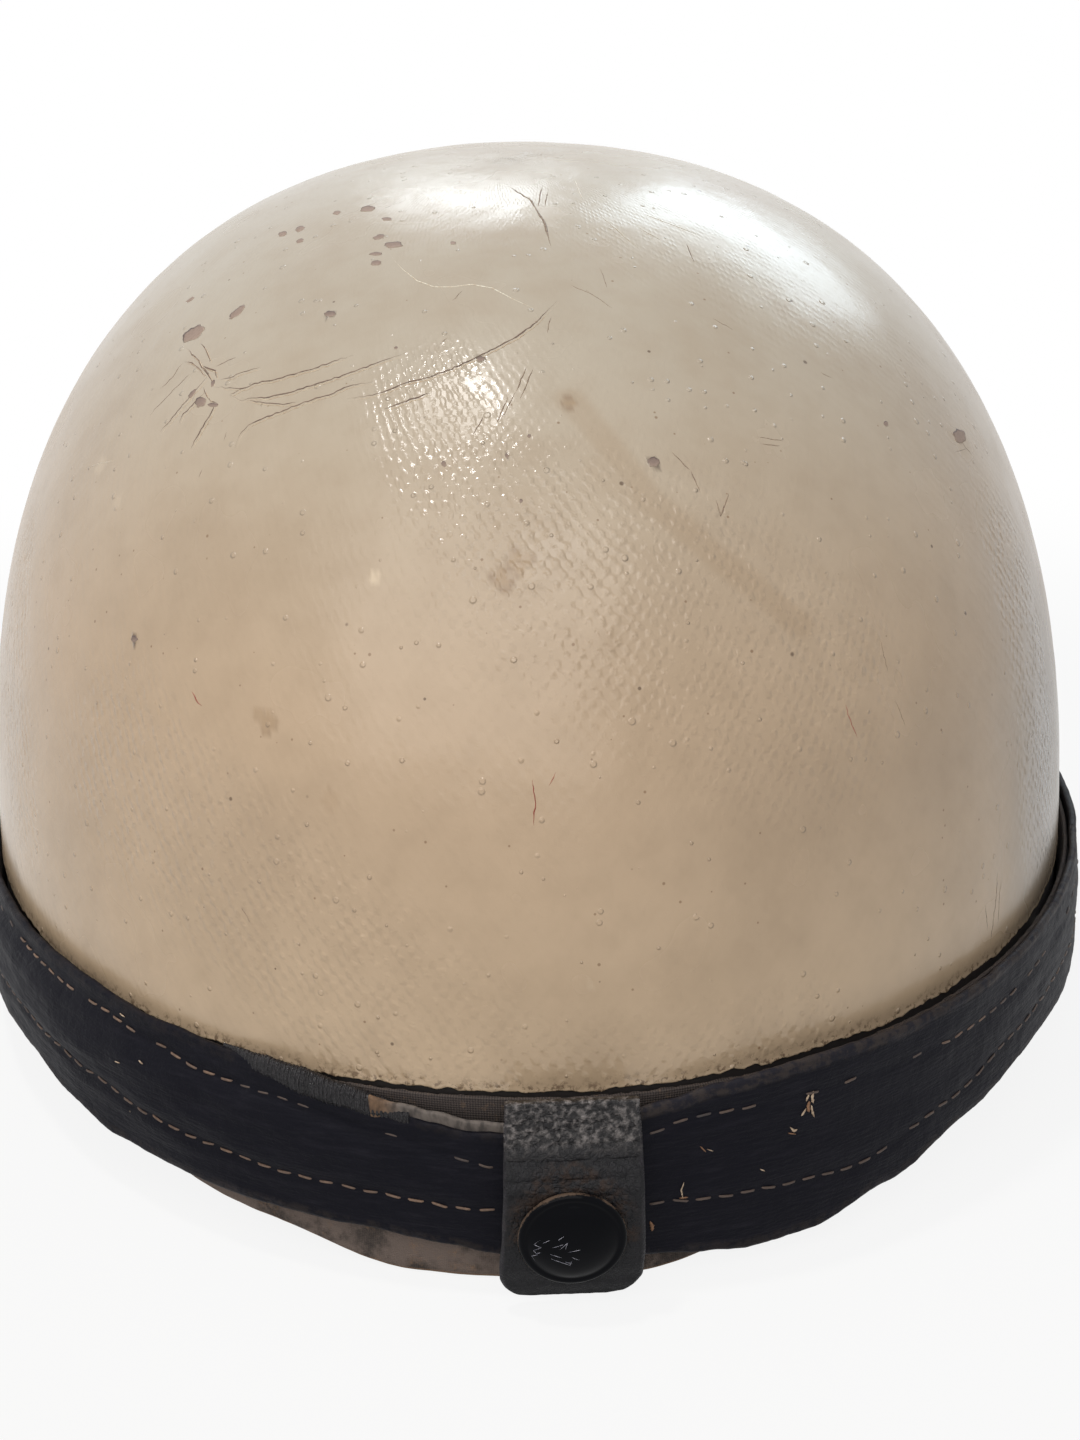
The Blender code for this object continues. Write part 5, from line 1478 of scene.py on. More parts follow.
cap = {
    "x": 0.5,
    "z": 15.0,
    "outset": 11.75,
    "leanDeg": 7.0,
    "profile": [(0, 3.15), (1.5, 3.12), (3, 2.98), (4.5, 2.74), (5.8, 2.42), (6.7, 2.08), (7.3, 1.78), (7.65, 1.58),
                (7.9, 1.52), (8.15, 1.58), (8.45, 1.62), (8.8, 1.54), (9.1, 1.32), (9.28, 0.98), (9.3, 0.6),
                (9.2, 0.25), (8.9, 0.05), (8.3, 0.0), (2.6, 0.0), (2.6, 0.9), (0, 0.9)],
    "topPoints": 15,             # of the profile, from the middle to the rim
    "sides": 96,
    "enamel": linear(3, 4, 9),
    "worn": linear(92, 76, 64),
    "scratches": [((5.6, 1.2), (6.6, 0.1), (5.4, -0.3), (6.7, -1.2), (6.0, -2.0), (7.0, -2.6), (6.3, -3.7)),
                  ((4.4, -1.4), (1.9, -2.3)), ((4.6, -2.2), (0.6, -4.0), (0.3, -3.0)),
                  ((3.6, -0.2), (1.6, 0.6)), ((2.4, -0.6), (1.0, 0.9), (1.4, -0.5)), ((5.2, 0.6), (3.9, 1.4)),
                  ((1.0, -1.1), (-1.4, -0.6)), ((0.3, -2.2), (-0.9, -2.9)), ((2.6, 1.4), (1.6, 2.2)),
                  ((6.4, -1.9), (5.4, -1.3)), ((1.4, -3.2), (0.2, -3.7))],
}


def capPlace(x, height, z):
    # a place on the cap: x to the wearer's left, z up, height outward from its back, in millimetres
    lean = radians(cap["leanDeg"])
    y = cap["outset"] + height * cos(lean) + z * sin(lean)
    return Vector((cap["x"] + x, form["rearY"] / mm + y, cap["z"] + z * cos(lean) - height * sin(lean))) * mm


def capHeight(x, z):
    reach = hypot(x, z)
    return float(np.interp(reach, *zip(*cap["profile"][:cap["topPoints"]])))


def makeCap():
    verts, rim = [], []
    profile, sides = cap["profile"], cap["sides"]
    inner = profile[1:-1]
    for r, h in inner:
        for k in range(sides):
            turn = 2 * pi * k / sides
            dent = 0.05 * fractal((r * mm * cos(turn), 0.2, r * mm * sin(turn)), 4 * mm, 2, 3.0)
            verts.append(capPlace(r * cos(turn), h + dent * (r < 7.5), r * sin(turn)))
            rim.append(0.8 if r > 9.2 else 0.3 if r > 8.9 else 0.0)
    faces = gridFaces(len(inner), sides, closedAcross=True)
    for centre, ring, flip in ((profile[0], 0, True), (profile[-1], len(inner) - 1, False)):
        faces += fanFaces(len(verts), ring * sides, sides, flip)
        verts.append(capPlace(0, centre[1], 0))
        rim.append(0.0)
    piece = addPiece("enamelled_cap", verts, faces, capMaterial(), body="tab", slot="snap_enamel", rim=rim)
    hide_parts("snap_cap")
    trails = []
    for path in cap["scratches"]:
        places, normals = [], []
        for (x0, z0), (x1, z1) in zip(path, path[1:]):
            for k in range(5):
                x, z = x0 + (x1 - x0) * k / 4, z0 + (z1 - z0) * k / 4
                places.append(capPlace(x, capHeight(x, z) + 0.01, z))
                normals.append((capPlace(x * 1.02, capHeight(x, z) + 1, z * 1.02) - places[-1]).normalized())
        trails.append((places, normals, 0.11 * mm, 0.035 * mm))
    bare = mottled("scratchedEnamel", linear(88, 90, 104), linear(172, 172, 182), 0.5, 2500)
    addRibbons("cap_scratches", trails, bare, body="tab", seed=4)


def capMaterial():
    n, where = newMaterial("blackEnamel")
    wear = n.group("wear", Place=where, Size=3.0, Edge=n.attribute("rim"), Amount=0.24)
    hazy = n.ramp(n.noise(where, 300, 4.0, 0.65), 0.4, 0.7, 0.07, 0.2)
    return n.finish(n.mix(wear, cap["enamel"], cap["worn"]), n.plus(hazy, n.times(wear, 0.3)),
                    specular=0.07, normal=n.bump(n.noise(where, 700, 3.0), 0.015 * mm, 0.6))


makeLining()
makeTab()
makeCap()
print("tab snapped")


# strips of leather and webbing inside the helmet

def alongRoute(points, spacing):
    # the route again at even steps, in metres
    points = np.array([tuple(p) for p in points])
    lengths = pathLengths(points)
    count = max(2, int(round(lengths[-1] / spacing)) + 1)
    steps = np.linspace(0, lengths[-1], count)
    return np.stack([np.interp(steps, lengths, points[:, k]) for k in range(3)], 1), steps


def softened(values, passes):
    values = np.array(values, float)
    for _ in range(passes):
        values[1:-1] = (values[:-2] + 2 * values[1:-1] + values[2:]) / 4
    return values


def flatStrip(name, centres, sides, halfWidths, thickness, material, body, slot, columns, roughness=0.05, seed=1.0):
    # a closed strip with rounded edges; sides point across it
    centres, sides = np.array(centres), np.array(sides)
    ahead = np.gradient(centres, axis=0)
    ahead /= np.linalg.norm(ahead, axis=1)[:, None]
    normals = np.cross(sides, ahead)
    normals /= np.linalg.norm(normals, axis=1)[:, None]
    lengths = pathLengths(centres)
    shares = np.sin(np.linspace(-pi / 2, pi / 2, columns))
    verts, along, across = [], [], []
    for row in range(len(centres)):
        for face in (1, -1):
            for share in shares if face > 0 else shares[::-1]:
                reach = halfWidths[row] * share
                depth = thickness / 2 * max(0.12, 1 - abs(share) ** 14)
                place = centres[row] + sides[row] * reach
                depth += roughness * mm * fractal(place, 3 * mm, 2, seed + face)
                verts.append(place + normals[row] * depth * face)
                along.append(lengths[row] / mm)
                across.append(reach / mm)
    faces = gridFaces(len(centres), 2 * columns, closedAcross=True) + endFaces(len(centres), 2 * columns)
    piece = addPiece(name, verts, faces, material, body, slot=slot, along=along, across=across)
    return piece


def threadRuns(name, runs, body, slot):
    # stitches: each run is (start, end, outward), drawn as a small rounded thread lying on the leather
    radius, steps = stitching["plainRadius"], stitching["plainSteps"]
    threads = []
    for start, end, outward in runs:
        start, end = Vector(start), Vector(end)
        across = outward.cross(end - start).normalized()
        rings = []
        for k in range(steps):
            share = k / (steps - 1) * 2 - 1
            centre = start.lerp(end, k / (steps - 1)) + outward * (0.5 - 1.1 * abs(share) ** 4) * radius
            rings.append((centre, outward, across, radius * (1 - 0.8 * abs(share) ** 3)))
        threads.append(rings)
    addThreads(name, threads, [0.75] * len(threads), thread, body, slot)


def leatherMaterial(name, dark, light, grainSize=1.4, roughness=0.5):
    n, where = newMaterial(name)
    grain = n.group("grain", Place=where, Size=grainSize, Crease=0.5)
    patches = n.ramp(n.noise(where, 90, 5.0, 0.6), 0.35, 0.68)
    colour = n.mix(patches, dark, light)
    edgeDark = n.ramp(n.math("ABSOLUTE", n.attribute("across"), 0), 6.8, 9.6, 0.0, 0.6)
    colour = n.mix(edgeDark, colour, linear(26, 19, 15))
    wear = n.group("wear", Place=where, Size=7.0, Edge=0.35, Amount=0.4)
    colour = n.mix(n.times(wear, 0.4), colour, linear(120, 88, 62))
    return n.finish(colour, n.ramp(patches, 0, 1, roughness - 0.08, roughness + 0.1), specular=0.35,
                    normal=n.bump(grain, 0.09 * mm, 0.8))


def webbingMaterial():
    n, where = newMaterial("cottonWebbing")
    along, across = n.attribute("along"), n.attribute("across")
    zigzag = n.math("ABSOLUTE", n.minus(n.times(n.math("FRACT", n.times(across, 0.22)), 2.0), 1.0))
    rib = n.math("SINE", n.times(n.plus(along, n.times(zigzag, 1.6)), 5.2))
    yarn = n.math("SINE", n.times(across, 8.5))
    weave = n.plus(n.times(n.times(rib, yarn), 0.5), 0.5)
    dirt = n.ramp(n.noise(where, 60, 5.0, 0.65), 0.4, 0.66)
    colour = n.mix(dirt, linear(182, 170, 140), linear(128, 112, 84))
    colour = n.mix(n.times(n.minus(1.0, weave), 0.5), colour, linear(90, 78, 58))
    return n.finish(colour, 0.9, specular=0.2, normal=n.bump(weave, 0.22 * mm, 0.9))


# cork liner

liner = {"outerInset": 3.5, "thickness": 9.0, "bottomZ": 47.0, "columns": 180, "rows": 44}


def domePoint(angle, inset, share):
    # share runs from the liner's bottom edge, 0, to the crown, 1
    height = form["domeHeight"] - inset * mm
    low = (liner["bottomZ"] * mm - form["paintLineZ"]) / height
    lift = sin(radians(90) * share)
    tall = low + (1 - low) * lift
    reach = max(0.0, 1 - tall ** form["domePower"]) ** (1 / form["domePower"])
    x, y = planXY(angle, -inset * mm / max(reach, 0.02) * reach)
    return Vector((*drawnIn(float(x), float(y), reach), form["paintLineZ"] + height * tall))


def makeCork():
    columns, rows = liner["columns"], liner["rows"]
    angles = np.linspace(0, 360, columns, endpoint=False)
    inner, outer = liner["outerInset"] + liner["thickness"], liner["outerInset"]
    levels = [(inner, k / rows) for k in range(rows - 1, -1, -1)]
    levels += [(outer + liner["thickness"] * share, -0.004 * sin(pi * share)) for share in (0.8, 0.5, 0.2)]
    levels += [(outer, k / rows) for k in range(rows)]
    verts = []
    for inset, share in levels:
        for a in angles:
            p = domePoint(a, inset, max(share, 0)) + upBy(min(share, 0) * 60)
            crumb = 0.25 * fractal(p, 2.4 * mm, 2, 9.0) if inset > outer else 0.0
            verts.append(p + (Vector((0, form["centreY"], 60 * mm)) - p).normalized() * crumb * mm)
    faces = gridFaces(len(levels), columns, closedAcross=True)
    for inset, ring, flip in ((inner, 0, True), (outer, len(levels) - 1, False)):
        faces += fanFaces(len(verts), ring * columns, columns, flip)
        verts.append(Vector((0, form["centreY"], form["crownZ"] - inset * mm)))
    piece = addPiece("pressed_cork_liner", verts, faces, corkMaterial(), slot="cork")
    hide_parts("cork_liner")


def corkMaterial():
    n, where = newMaterial("pressedCork")
    crumbs = n.add("ShaderNodeTexVoronoi", Vector=where, Scale=420.0)
    tone = n.add("ShaderNodeSeparateColor", i0=crumbs.outputs["Color"]).outputs[0]
    edges = n.add("ShaderNodeTexVoronoi", _feature="DISTANCE_TO_EDGE", Vector=where, Scale=420.0).outputs["Distance"]
    colour = n.mix(tone, linear(150, 108, 68), linear(196, 152, 104))
    colour = n.mix(n.ramp(edges, 0.0, 0.09, 0.75, 0.0), colour, linear(82, 52, 30))
    colour = n.mix(n.ramp(n.noise(where, 25, 4.0, 0.6), 0.45, 0.75, 0.0, 0.5), colour, linear(92, 66, 44))
    return n.finish(colour, 0.88, normal=n.bump(n.ramp(edges, 0.0, 0.12), 0.35 * mm, 0.8))


# headband

headband = {"halfWidth": 80.0, "halfLength": 99.5, "thickness": 1.8, "bottomZ": 27.8, "topZ": 59.8,
            "stitchRows": (31.0, 56.4), "stitchPitch": 5.0, "stitchLength": 3.4}


def headbandXY(angle, outset):
    turn, power = np.radians(angle), 2 / form["planPower"]
    s, c = np.sin(turn), np.cos(turn)
    x = (headband["halfWidth"] + outset) * mm * np.sign(s) * np.abs(s) ** power
    return x, form["centreY"] + (headband["halfLength"] + outset) * mm * np.sign(c) * np.abs(c) ** power


def makeHeadband():
    angles = np.linspace(0, 360, 360, endpoint=False)
    heights = np.linspace(headband["bottomZ"], headband["topZ"], 26)
    t = headband["thickness"]
    low, high = heights[0], heights[-1]
    loop = [(0.0, z) for z in heights[1:-1]]
    loop += [(-0.25, high - 0.15), (-t / 2, high + 0.02), (-t + 0.25, high - 0.15)]
    loop += [(-t, z) for z in heights[1:-1][::-1]]
    loop += [(-t + 0.25, low + 0.15), (-t / 2, low - 0.02), (-0.25, low + 0.15)]
    verts, across, along = [], [], []
    for a in angles:
        for out, z in loop:
            x, y = headbandXY(a, 0)
            ripple = 0.0 if out == 0.0 else 0.5 * fractal((x, y, z * mm), 16 * mm, 3, 4.0)
            x, y = headbandXY(a, out - max(0.0, ripple))
            verts.append((float(x), float(y), z * mm))
            across.append((z - low) / (high - low) * 19.2 - 9.6)
            along.append(a)
    faces = gridFaces(len(angles), len(loop), closedAcross=True, closedAlong=True)
    piece = addPiece("stitched_headband", verts, faces,
                     leatherMaterial("brownHeadbandLeather", linear(96, 58, 34), linear(142, 92, 56), 1.1, 0.46))
    setFloats(piece, "across", across)
    setFloats(piece, "along", along)
    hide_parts("headband")
    runs = []
    count = int(2 * pi * 90 / headband["stitchPitch"])
    half = headband["stitchLength"] / 2 / 90 * 180 / pi
    for z in headband["stitchRows"]:
        for k in range(count):
            a = 360 * k / count
            (x0, y0), (x1, y1) = headbandXY(a - half, -t - 0.12), headbandXY(a + half, -t - 0.12)
            inward = Vector((-sin(radians(a)), -cos(radians(a)), 0))
            runs.append(((x0, y0, z * mm), (x1, y1, z * mm), inward))
    threadRuns("headband_stitches", runs, "root", "headband_leather")


# webbing cradle

cradle = {"width": 18.0, "thickness": 1.3, "topZ": 141.0, "layer": 1.9, "wallInset": 4.45, "footZ": 26.2,
          "wallTopZ": 37.2, "lap": 10.0, "power": 2.3,
          "angles": (("cradle_strap_lengthwise", 0), ("cradle_strap_left_diagonal", 60),
                     ("cradle_strap_right_diagonal", -60))}


def ovalReach(direction, halfWidth, halfLength):
    power = form["planPower"]
    return ((abs(direction.x) / halfWidth) ** power + (abs(direction.y) / halfLength) ** power) ** (-1 / power)


def cradleHalf(angle, apexZ):
    # places from the foot to the crown, each with the way across the strap
    foot = wallPoint(angle, -cradle["wallInset"] * mm, 0)
    centre, upward = Vector((0, form["centreY"], 0)), Vector((0, 0, 1))
    outward = (foot - centre).normalized()
    wallSide, across = upward.cross(wallNormal(angle)), upward.cross(outward)
    outset = 0.3 + cradle["thickness"] / 2
    power = form["planPower"]
    width, length = headband["halfWidth"] * mm, headband["halfLength"] * mm
    reach = ovalReach(outward, width + outset * mm, length + outset * mm)
    slope = Vector((abs(outward.x / width) ** (power - 1) / width * copysign(1, outward.x),
                    abs(outward.y / length) ** (power - 1) / length * copysign(1, outward.y), 0)).normalized()
    bandSide, lapZ = upward.cross(slope), headband["topZ"] * mm
    rows = [(foot + upBy(z), wallSide) for z in (cradle["footZ"], cradle["wallTopZ"])]
    rows.append((centre + outward * reach + upBy(headband["topZ"] - cradle["lap"]), bandSide))
    for k in range(24):
        side = bandSide.lerp(across, k / 24).normalized()
        tilt = radians(90) * k / 24
        out = reach * cos(tilt) ** (2 / cradle["power"])
        z = lapZ + (apexZ - lapZ) * sin(tilt) ** (2 / cradle["power"])
        rows.append((centre + outward * out + Vector((0, 0, z)), side))
    return rows


def makeCradle():
    material = webbingMaterial()
    runs = []
    for layer, (name, angle) in enumerate(cradle["angles"]):
        apexZ = (cradle["topZ"] - layer * cradle["layer"]) * mm
        near, far = cradleHalf(angle, apexZ), cradleHalf(angle + 180, apexZ)
        crown = (Vector((0, form["centreY"], apexZ)), (near[-1][1] - far[-1][1]).normalized())
        rows = near + [crown] + [(point, -side) for point, side in reversed(far)]
        centres, steps = alongRoute([p for p, _ in rows], 1.6 * mm)
        stops = pathLengths([tuple(p) for p, _ in rows])
        sides = np.stack([np.interp(steps, stops, [s[k] for _, s in rows]) for k in range(3)], 1)
        sides /= np.linalg.norm(sides, axis=1)[:, None]
        centres = softened(centres, 6)
        piece = flatStrip(name + "_webbing", centres, sides, np.full(len(centres), cradle["width"] / 2 * mm),
                          cradle["thickness"] * mm, material, "root", "cradle_webbing", columns=14, seed=layer)
        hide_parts(name)
        for end in (near, far):
            foot, side = end[0]
            inward = (Vector((0, form["centreY"], foot.z)) - foot).normalized()
            for dz in (2.0, 9.4):
                for k in range(5):
                    middle = foot + side * ((k - 2) * 3.2 * mm) + upBy(dz) \
                        + inward * (cradle["thickness"] / 2 + 0.06) * mm
                    runs.append((middle - side * 1.1 * mm, middle + side * 1.1 * mm, inward))
    threadRuns("cradle_tack_stitches", runs, "root", "cradle_webbing")


# chin straps, stowed inside the rim

strap = {
    "width": 19.0, "thickness": 2.0, "routeInset": 7.9, "anchorZ": 26.5, "longStep": 6.56,
    "longReach": 205.0, "longReturn": 66.0, "foldRadius": 5.0, "shortReach": 111.8,
    "holes": 5, "holePitch": 9.5, "holeFromTip": 14.0, "holeRadius": 1.6,
    "slotReach": 7.8, "slotHalf": 2.1, "anchorHoleRadius": 2.5,
    "loopBore": 1.55, "loopOuter": 2.85, "loopHalf": 9.3, "endGap": 2.2,       # the fold round the buckle's bar
    "keeperLength": 6.5, "keeperThickness": 1.2, "keeperDepth": 1.5, "keeperHalf": 10.0,
    "dark": linear(40, 31, 27), "light": linear(70, 52, 42),
}


def strapRoute(side, reach):
    angle = 90 + degrees(asin(strap["width"] * mm / form["halfLength"]))
    anchor = wallPoint(90, -strap["routeInset"] * mm, strap["anchorZ"] * mm)
    travelled = -(wallPoint(angle, -strap["routeInset"] * mm, strap["anchorZ"] * mm) - anchor).length
    points, lengths = [], []
    while travelled < reach:
        inset = strap["routeInset"]
        if side > 0:
            inset += strap["longStep"] * (1 if angle < 0 else max(0, cos(radians(angle))) ** 2)
        point = wallPoint(angle, -inset * mm, strap["anchorZ"] * mm)
        if points:
            travelled += (point - points[-1]).length
        points.append(point)
        lengths.append(travelled)
        angle -= 1.5
    if side < 0:
        points = [Vector((-p.x, p.y, p.z)) for p in points]
    return points, lengths


def placeAt(route, distance):
    points, lengths = route
    k = 1
    while k < len(points) - 1 and lengths[k] < distance:
        k += 1
    heading = (points[k] - points[k - 1]).normalized()
    return points[k - 1] + heading * (distance - lengths[k - 1]), heading


def foldedBack(route, distance):
    points, lengths = route
    kept = [(p, d) for p, d in zip(points, lengths) if d < distance]
    place, heading = placeAt(route, distance)
    kept.append((place, distance))
    inward = -outOf(heading)
    radius = strap["foldRadius"] * mm
    centre = place + inward * radius
    for k in range(1, 13):
        turn = pi * k / 12
        point = centre - inward * radius * cos(turn) + heading * radius * sin(turn)
        kept.append((point, kept[-1][1] + (point - kept[-1][0]).length))
    for point, travelled in zip(reversed(points), reversed(lengths)):
        if not distance - (strap["longReturn"] + strap["width"]) * mm < travelled < distance - radius:
            continue
        moved = point - outOf(placeAt(route, travelled)[1]) * 2 * radius
        kept.append((moved, kept[-1][1] + (moved - kept[-1][0]).length))
    return [p for p, _ in kept], [d for _, d in kept]


def strapPiece(name, node, route, start, end, body, roundEnd, material):
    count = int((end - start) / (1.1 * mm))
    places = [placeAt(route, start + (end - start) * k / count)[0] for k in range(count + 1)]
    centres = softened([tuple(p) for p in places], 5)
    steps = np.linspace(start, end, count + 1)
    half = strap["width"] / 2 * mm
    near = np.clip((half - (steps - start)) / half, 0, 1)
    far = np.clip((half - (end - steps)) / half, 0, 1) if roundEnd else np.zeros(len(steps))
    halves = half * np.sqrt(np.clip(1 - np.maximum(near, far) ** 2, 0.02, 1))
    ups = np.tile((0.0, 0.0, 1.0), (len(steps), 1))
    piece = flatStrip(name, centres, ups, halves, strap["thickness"] * mm, material, body, "strap_leather",
                      columns=20, roughness=0.04, seed=start * 100)
    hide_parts(node)
    return piece


def cutAway(piece, cutter):
    hole = piece.modifiers.new("hole", "BOOLEAN")
    hole.operation, hole.solver, hole.object = "DIFFERENCE", "EXACT", cutter
    bpy.context.view_layer.objects.active = piece
    bpy.ops.object.modifier_apply(modifier=hole.name)
    bpy.data.objects.remove(cutter)


def punch(piece, place, through, radius):
    # a round hole through the strap
    bpy.ops.mesh.primitive_cylinder_add(vertices=20, radius=radius, depth=12 * mm, location=place)
    cutter = bpy.context.object
    cutter.rotation_euler = through.to_track_quat("Z", "Y").to_euler()
    cutAway(piece, cutter)


def cutProngSlot(piece, route):
    # room for the prong between the two sides of the strap's end
    bar, heading = placeAt(route, strap["shortReach"] * mm)
    bpy.ops.mesh.primitive_cube_add(size=1, location=bar - heading * strap["slotReach"] / 2 * mm)
    cutter = bpy.context.object
    cutter.rotation_euler = heading.to_track_quat("X", "Z").to_euler()
    cutter.scale = (strap["slotReach"] * mm, 12 * mm, 2 * strap["slotHalf"] * mm)
    cutAway(piece, cutter)


def makeStraps():
    material = leatherMaterial("darkStrapLeather", strap["dark"], strap["light"], 1.3, 0.5)
    reach, back = strap["longReach"] * mm, strap["longReturn"] * mm
    total = reach + pi * strap["foldRadius"] * mm + back
    half = strap["width"] / 2 * mm
    longRoute = foldedBack(strapRoute(1, reach), reach)
    longStrap = strapPiece("long_chin_strap", "chin_strap_long", longRoute, -half, total, "long_strap", True, material)
    for k in range(strap["holes"]):
        place, heading = placeAt(longRoute, total - (strap["holeFromTip"] + strap["holePitch"] * k) * mm)
        punch(longStrap, place, outOf(heading), strap["holeRadius"] * mm)
    shortRoute = strapRoute(-1, (strap["shortReach"] + 20) * mm)
    shortStrap = strapPiece("short_chin_strap", "chin_strap_short", shortRoute, -half,
                            (strap["shortReach"] - strap["endGap"]) * mm, "short_strap", False, material)
    for piece, route in ((longStrap, longRoute), (shortStrap, shortRoute)):
        place, heading = placeAt(route, 0)
        punch(piece, place, outOf(heading), strap["anchorHoleRadius"] * mm)
    cutProngSlot(shortStrap, shortRoute)
    makeStrapLoop(shortRoute, material)
    makeKeeper(shortRoute, material)
    makeStrapStitches(longRoute, shortRoute, total)


def makeStrapLoop(route, material):
    # the fold of the short strap round the buckle's bar: two leather rings beside the prong
    bar, heading = placeAt(route, strap["shortReach"] * mm)
    bore, outer, half, slot, sides = strap["loopBore"], strap["loopOuter"], strap["loopHalf"], strap["slotHalf"], 36
    verts, faces, across = [], [], []
    for low, high in ((-half, -slot), (slot, half)):
        first = len(verts)
        loop = [(outer - 0.15, low), (outer, low + 0.2), (outer, high - 0.2), (outer - 0.15, high),
                (bore, high), (bore, low)]
        for k in range(sides):
            turn = 2 * pi * k / sides
            spoke = heading * cos(turn) + outOf(heading) * sin(turn)
            verts += [bar + spoke * radius * mm + upBy(z) for radius, z in loop]
            across += [z for _, z in loop]
        faces += gridFaces(sides, len(loop), closedAcross=True, closedAlong=True, offset=first)
    piece = addPiece("strap_buckle_loop", verts, faces, material, "short_strap", slot="strap_leather", across=across)


def makeKeeper(route, material):
    low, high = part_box("strap_keeper")
    middle = (low + high) / 2
    heading = Vector(jointNamed("keeper_slide")["axis"])
    verts, across, sides = [], [], 48
    half, depth, tall = strap["keeperLength"] / 2, strap["keeperDepth"], strap["keeperHalf"]
    ends = ((-half, 0.1), (0.3 - half, 0.0), (half - 0.3, 0.0), (half, 0.1))
    loop = [(along, strap["keeperThickness"] - shrink) for along, shrink in ends] + list(ends[::-1])
    for k in range(sides):
        turn = 2 * pi * (k + 0.5) / sides
        c, s = [copysign(abs(v) ** 0.28, v) for v in (cos(turn), sin(turn))]
        for along, outset in loop:
            verts.append(middle + (heading * along + outOf(heading) * c * (depth + outset)) * mm
                         + upBy(s * (tall + outset)))
            across.append(along * 2)
    faces = gridFaces(sides, len(loop), closedAcross=True, closedAlong=True)
    piece = addPiece("leather_keeper", verts, faces, material, "keeper", slot="strap_leather", across=across)
    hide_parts("strap_keeper")


def makeStrapStitches(longRoute, shortRoute, total):
    runs = {"long_strap": [], "short_strap": []}
    spots = [("short_strap", shortRoute, d, z, 1) for d in (99.3, 103.3, 107.3) for z in (-6.5, 6.5)]
    spots += [("short_strap", shortRoute, 97.2, z, 2) for z in (-4.4, -1.5, 1.5, 4.4)]
    spots += [("long_strap", longRoute, d, z, 1) for d in range(-2, 20, 5) for z in (-7.4, 7.4)]
    for body, route, distance, z, way in spots:
        place, heading = placeAt(route, distance * mm)
        normal = outOf(heading) * (-1 if body == "long_strap" else 1)
        middle = place + upBy(z) + normal * (strap["thickness"] / 2 + 0.05) * mm
        reach = heading * 1.6 * mm if way == 1 else upBy(1.1)
        runs[body].append((middle - reach, middle + reach, normal))
    for body, found in runs.items():
        threadRuns(body + "_stitches", found, body, "strap_leather")


# plated steel

def steelMaterial():
    n, where = newMaterial("dullPlatedSteel")
    spots = n.noise(where, 700, 5.0, 0.7)
    tarnish = n.ramp(spots, 0.5, 0.68)
    return n.finish(n.mix(tarnish, linear(176, 172, 164), linear(112, 92, 72)),
                    n.ramp(spots, 0.35, 0.7, 0.26, 0.62), metallic=n.ramp(tarnish, 0, 1, 1.0, 0.55),
                    normal=n.bump(n.noise(where, 1600, 3.0), 0.04 * mm, 0.6))


def finishMetal():
    steel = steelMaterial()
    replaced = {"shell", "leather_band", "rim_binding", "band_lining", "snap_tab", "tab_root", "snap_cap",
                "cork_liner", "headband", "chin_strap_long", "chin_strap_short", "strap_keeper"}
    for name, node in frame["nodes"].items():
        if name not in replaced and not name.startswith("cradle_strap"):
            node.data.materials.clear()
            node.data.materials.append(steel)


thread = threadMaterial()
makeCork()
makeHeadband()
makeCradle()
makeStraps()
finishMetal()
print("inside fitted")


# floor, backdrop and lamps

stage = {
    "floorZ": cadBox[0][2],
    "floorSize": 6.0,
    "floorColour": (0.62, 0.62, 0.61, 1.0),
    "whiteShare": 0.88,
    "shadowFrom": 0.22,
    "shadowTo": 0.42,
    "worldForLight": 0.22,
    "lampAimZ": 0.08,
}


def seenRays(n):
    # 1 where something is seen, also in a reflection, and 0 where it only lights the rest
    rays = n.add("ShaderNodeLightPath").outputs
    return n.math("MAXIMUM", rays["Is Camera Ray"],
                  n.math("MAXIMUM", rays["Is Glossy Ray"], rays["Is Transmission Ray"]))


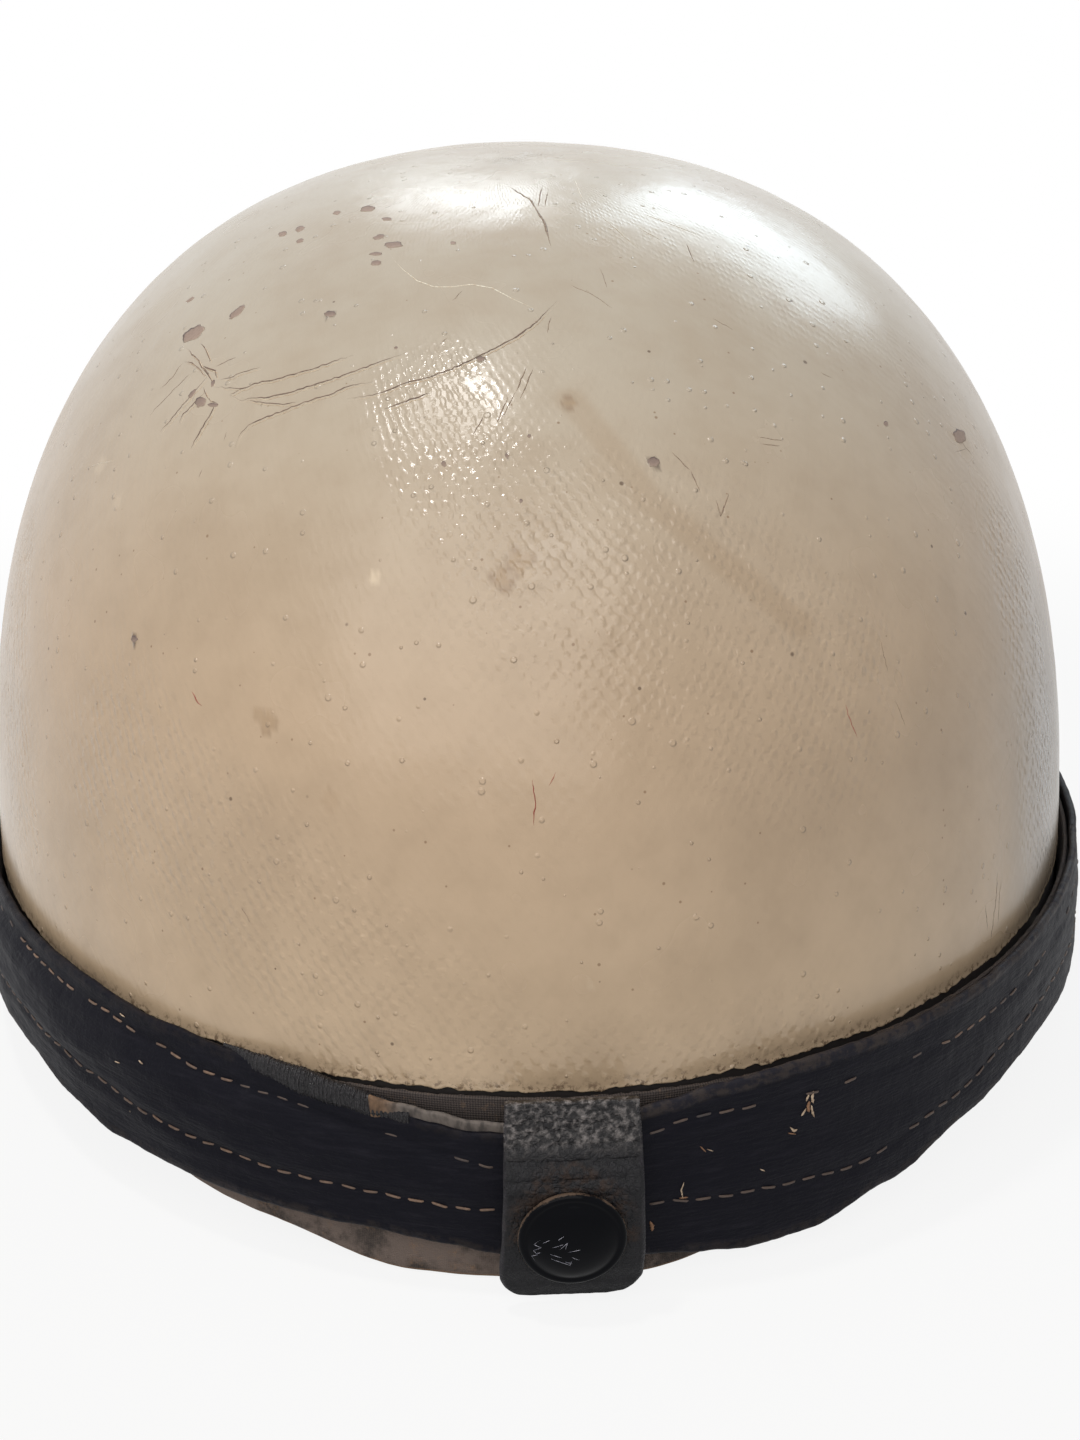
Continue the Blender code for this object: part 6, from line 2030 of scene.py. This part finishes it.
def makeFloor():
    # pale floor that keeps the shadow near the helmet and is plain white further away
    n, where = newMaterial("paleFloor")
    n.finish(stage["floorColour"], 0.9, specular=0.2)
    away = n.add("ShaderNodeVectorMath", _operation="LENGTH", i0=where).outputs["Value"]
    white = n.ramp(away, stage["shadowFrom"], stage["shadowTo"], stage["whiteShare"], 1.0)
    glow = n.add("ShaderNodeEmission", Color=(1, 1, 1, 1), Strength=1.0).outputs[0]
    both = n.add("ShaderNodeMixShader", i0=n.times(seenRays(n), white), i1=n.shader.outputs[0], i2=glow)
    n.put(both.outputs[0], n.out.inputs[0])
    half, z = stage["floorSize"] / 2, stage["floorZ"]
    floor = addPiece("floor", [(-half, -half, z), (half, -half, z), (half, half, z), (-half, half, z)],
                     [(0, 1, 2, 3)], n.material, body=None, smoothFaces=False)


def makeLamp(name, azimuthDeg, elevationDeg, distance, width, height, strength, colour):
    light = bpy.data.lights.new(name, "AREA")
    light.shape = "RECTANGLE"
    light.size, light.size_y = width, height
    light.energy = strength
    light.color = colour
    lamp = bpy.data.objects.new(name, light)
    away = directionAt(azimuthDeg, elevationDeg)
    lamp.location = Vector((0, form["centreY"], stage["lampAimZ"])) + away * distance
    lamp.rotation_euler = away.to_track_quat("Z", "Y").to_euler()
    bpy.context.scene.collection.objects.link(lamp)


def makeWorld():
    world = bpy.data.worlds.new("room")
    world.use_nodes = True
    world.node_tree.nodes.clear()
    n = Nodes(world.node_tree)
    lit = n.add("ShaderNodeBackground", Color=(0.93, 0.95, 1.0, 1.0), Strength=stage["worldForLight"]).outputs[0]
    shown = n.add("ShaderNodeBackground", Color=(1, 1, 1, 1), Strength=1.0).outputs[0]
    both = n.add("ShaderNodeMixShader", i0=seenRays(n), i1=lit, i2=shown).outputs[0]
    n.put(both, n.add("ShaderNodeOutputWorld").inputs[0])
    bpy.context.scene.world = world


# name, azimuth and elevation in degrees, distance, width, height, power, colour
lamps = [
    ("windowRight", -27, 28, 1.5, 0.75, 0.42, 4.3, (0.76, 0.90, 1.0)),
    ("windowLeft", 2, 30, 1.5, 0.26, 0.22, 1.3, (0.86, 0.94, 1.0)),
    ("ceilingLamp", 93, 78, 1.5, 0.12, 0.12, 8.2, (1.0, 0.98, 0.96)),
    ("roomFill", 160, 38, 1.9, 2.4, 1.8, 22.0, (1.0, 0.96, 0.92)),
    ("paleWall", 184, 54, 1.8, 0.5, 0.3, 0.9, (0.97, 0.98, 1.0)),
]

makeFloor()
for lamp in lamps:
    makeLamp(*lamp)
makeWorld()
bpy.context.scene.view_settings.view_transform = "Standard"
print("stage lit")
